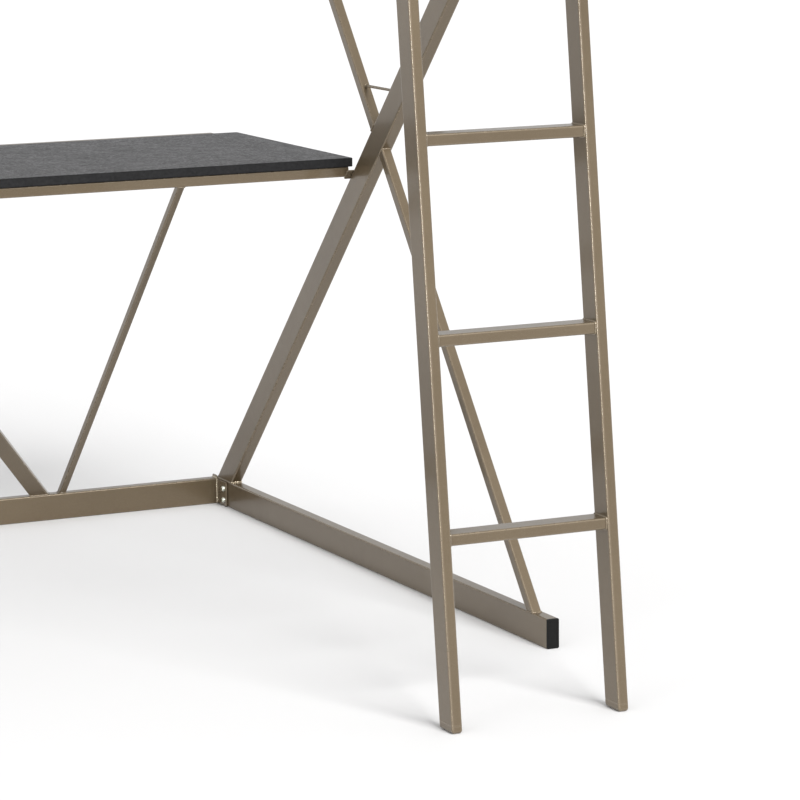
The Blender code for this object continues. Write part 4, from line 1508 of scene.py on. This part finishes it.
@dataclass
class Ladder(Assembly):
    """Leaning ladder: stiles, rungs, feet, hooks and the plugs in the stiles' tops."""

    body: Body = Body.LADDER
    stile_deep: float = 0.0444
    foot_round: float = 0.006
    hook_leg: float = 0.009
    hook_tip_drop: float = 0.026
    stile_clearance: float = 0.001
    rungs: int = 5

    def build(self) -> None:
        """Makes the ladder."""
        for side in Side:
            self.stile(side)
            self.hook(side)
        for number in range(1, self.rungs + 1):
            node = f"ladder_rung_{number}"
            self.tube(node, Block(node).bar_along(0, 0.0028), bead_radius=0.0020)
        self.finish_welds("ladder_welds")

    def stile(self, side: Side) -> None:
        """Stile, its foot and the plug in its top.

        The foot's sides draw in by R (1 - sin t) at height R (1 - cos t), t over a quarter turn.

        Args:
            side: The ladder's side.
        """
        node = Block(f"ladder_stile_{side.word}")
        bar = leaning_bar(node, node, self.stile_deep, False)
        self.tube(f"ladder_stile_{side.word}", bar, ends=())
        foot = Block(f"ladder_foot_{side.word}")
        high = foot.high[2]
        lean = bar.way[1] / bar.way[2]
        level = self.stile_deep / bar.way[2]
        turn = np.linspace(0, math.pi / 2, 9)
        heights = np.concatenate(
            [self.foot_round * (1 - np.cos(turn)), [high - EASE, high + GAP, high + GAP]]
        )
        sink = np.concatenate([self.foot_round * (1 - np.sin(turn)), [0.0, 0.0, 0.0004]])
        base_y = bar.start[1] - bar.start[2] * lean
        rings = []
        for z, s in zip(heights, sink):
            flat = rounded_rectangle(foot.size[0] - 2 * s, level - 2 * s, max(0.003 - s, 0.0008))
            rings.append(np.column_stack(
                [flat[:, 0] + foot.middle[0], flat[:, 1] + base_y + z * lean,
                 np.full(len(flat), z)]
            ))
        self.piece(
            f"ladder_foot_{side.word}_shoe", [loft(np.array(rings))],
            replaces=f"ladder_foot_{side.word}",
        )
        self.end_cap(
            f"ladder_stile_cap_{side.word}", bar.end + UP * GAP, UP, ALONG_X,
            (foot.size[0], level), thick=0.0018, plug=0.006,
        )

    def hook(self, side: Side) -> None:
        """Flat hook whose slot drops over the side rail.

        The outline runs up the stile, over the rail and down behind it.

        Args:
            side: The ladder's side.
        """
        name = f"ladder_hook_{side.word}"
        box = Block(name)
        rail = Block("side_rail_front")
        front = rail.low[1] - self.stile_clearance
        rear = box.high[1] - self.hook_leg
        tip = rail.high[2] - self.hook_tip_drop
        seat = rail.high[2] + GAP
        stile = Block(f"ladder_stile_{side.word}")
        bar = leaning_bar(stile, stile, self.stile_deep, False)
        lean = bar.way[1] / bar.way[2]
        crown_y = box.low[1] + (box.high[2] - box.low[2]) * lean
        corners = [
            (box.low[1], box.low[2]), (front, box.low[2]), (front, seat), (rear, seat),
            (rear, tip), (box.high[1], tip), (box.high[1], box.high[2]),
            (crown_y, box.high[2]),
        ]
        outline = rounded_outline(corners, 0.0022)
        centre = np.array([box.middle[0], 0.0, 0.0])
        self.piece(
            f"{name}_plate", [plate(outline, box.size[0], centre, ALONG_Y, UP)], replaces=name
        )


# ------------------------------------------------------------------ the studio


@dataclass
class Studio:
    """Pale floor, soft lights and the camera."""

    floor_colour: tuple[float, float, float] = (0.625, 0.623, 0.624)
    floor_half: float = 60.0
    world_strength: float = 0.76
    lens: float = 170.16
    eye: tuple[float, float, float] = (-1.837, -5.8264, 1.4712)
    yaw: float = 25.7039
    pitch: float = -9.902
    roll: float = -0.5115

    def build(self) -> None:
        """Makes the floor, the lights and the camera."""
        self.floor()
        self.lights()
        self.camera()

    def floor(self) -> None:
        """Large flat floor just under the feet."""
        h = self.floor_half
        mesh = bpy.data.meshes.new("studio_floor")
        mesh.from_pydata([(-h, -h, 0), (h, -h, 0), (h, h, 0), (-h, h, 0)], [], [(0, 1, 2, 3)])
        graph = Graph("studio_floor")
        mesh.materials.append(
            graph.shade(Base_Color=self.floor_colour, Roughness=0.85, Metallic=0.0)
        )
        plane = bpy.data.objects.new("studio_floor", mesh)
        bpy.context.scene.collection.objects.link(plane)

    def lights(self) -> None:
        """White surroundings, a soft key in front, and a wide and a narrow light on the left."""
        world = bpy.data.worlds.new("studio")
        world.use_nodes = True
        world.node_tree.nodes["Background"].inputs[0].default_value = (1.0, 1.0, 1.0, 1.0)
        world.node_tree.nodes["Background"].inputs[1].default_value = self.world_strength
        bpy.context.scene.world = world
        self.sun("key", (0.06, -0.80, 0.58), 30.0, 4.7)
        self.sun("side", (-0.90, -0.10, 0.42), 110.0, 0.5)
        self.sun("strip", (-0.85, -0.50, 0.06), 9.0, 0.8)

    def sun(self, name: str, place: tuple, angle: float, strength: float) -> None:
        """Distant soft light, so that the floor is as pale far away as it is near.

        Args:
            name: The light's name.
            place: The direction that it comes from.
            angle: How wide it looks, in degrees.
            strength: Its irradiance on a face turned to it.
        """
        light = bpy.data.lights.new(name, "SUN")
        light.angle = math.radians(angle)
        light.energy = strength
        lamp = bpy.data.objects.new(name, light)
        lamp.rotation_euler = (-Vector(place)).to_track_quat("-Z", "Y").to_euler()
        bpy.context.scene.collection.objects.link(lamp)

    def camera(self) -> None:
        """Camera at the eye, turned by yaw to the right, pitch upwards and roll."""
        yaw, pitch, roll = (math.radians(v) for v in (self.yaw, self.pitch, self.roll))
        ahead = Vector((
            math.sin(yaw) * math.cos(pitch), math.cos(yaw) * math.cos(pitch), math.sin(pitch)
        ))
        right = Vector((math.cos(yaw), -math.sin(yaw), 0.0))
        rise = right.cross(ahead)
        x = right * math.cos(roll) + rise * math.sin(roll)
        y = rise * math.cos(roll) - right * math.sin(roll)
        turn = Matrix((x, y, -ahead)).transposed()
        data = bpy.data.cameras.new("camera")
        data.lens = self.lens
        data.sensor_width = 36.0
        data.clip_end = 200.0
        camera = bpy.data.objects.new("camera", data)
        camera.location = self.eye
        camera.rotation_euler = turn.to_euler()
        bpy.context.scene.collection.objects.link(camera)
        bpy.context.scene.camera = camera


def main() -> None:
    """Builds the studio and every assembly, and writes how far the looks reach."""
    logging.basicConfig(level=logging.INFO, format="%(name)s %(message)s")
    bpy.context.scene.view_settings.view_transform = "Standard"
    Studio().build()
    paint = Paint()
    for slot in Slot:
        log.info("finish %s", slot.value)
    assemblies = [
        *(EndFrame(paint, side=side) for side in Side),
        LongRails(paint), Deck(paint), Guard(paint), Desk(paint), Ladder(paint),
    ]
    for assembly in assemblies:
        assembly.build()
    for name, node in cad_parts.items():
        if not node.hide_render:
            log.info("%s keeps its CAD shape", name)
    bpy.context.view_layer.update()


if __name__ == "__main__":
    main()
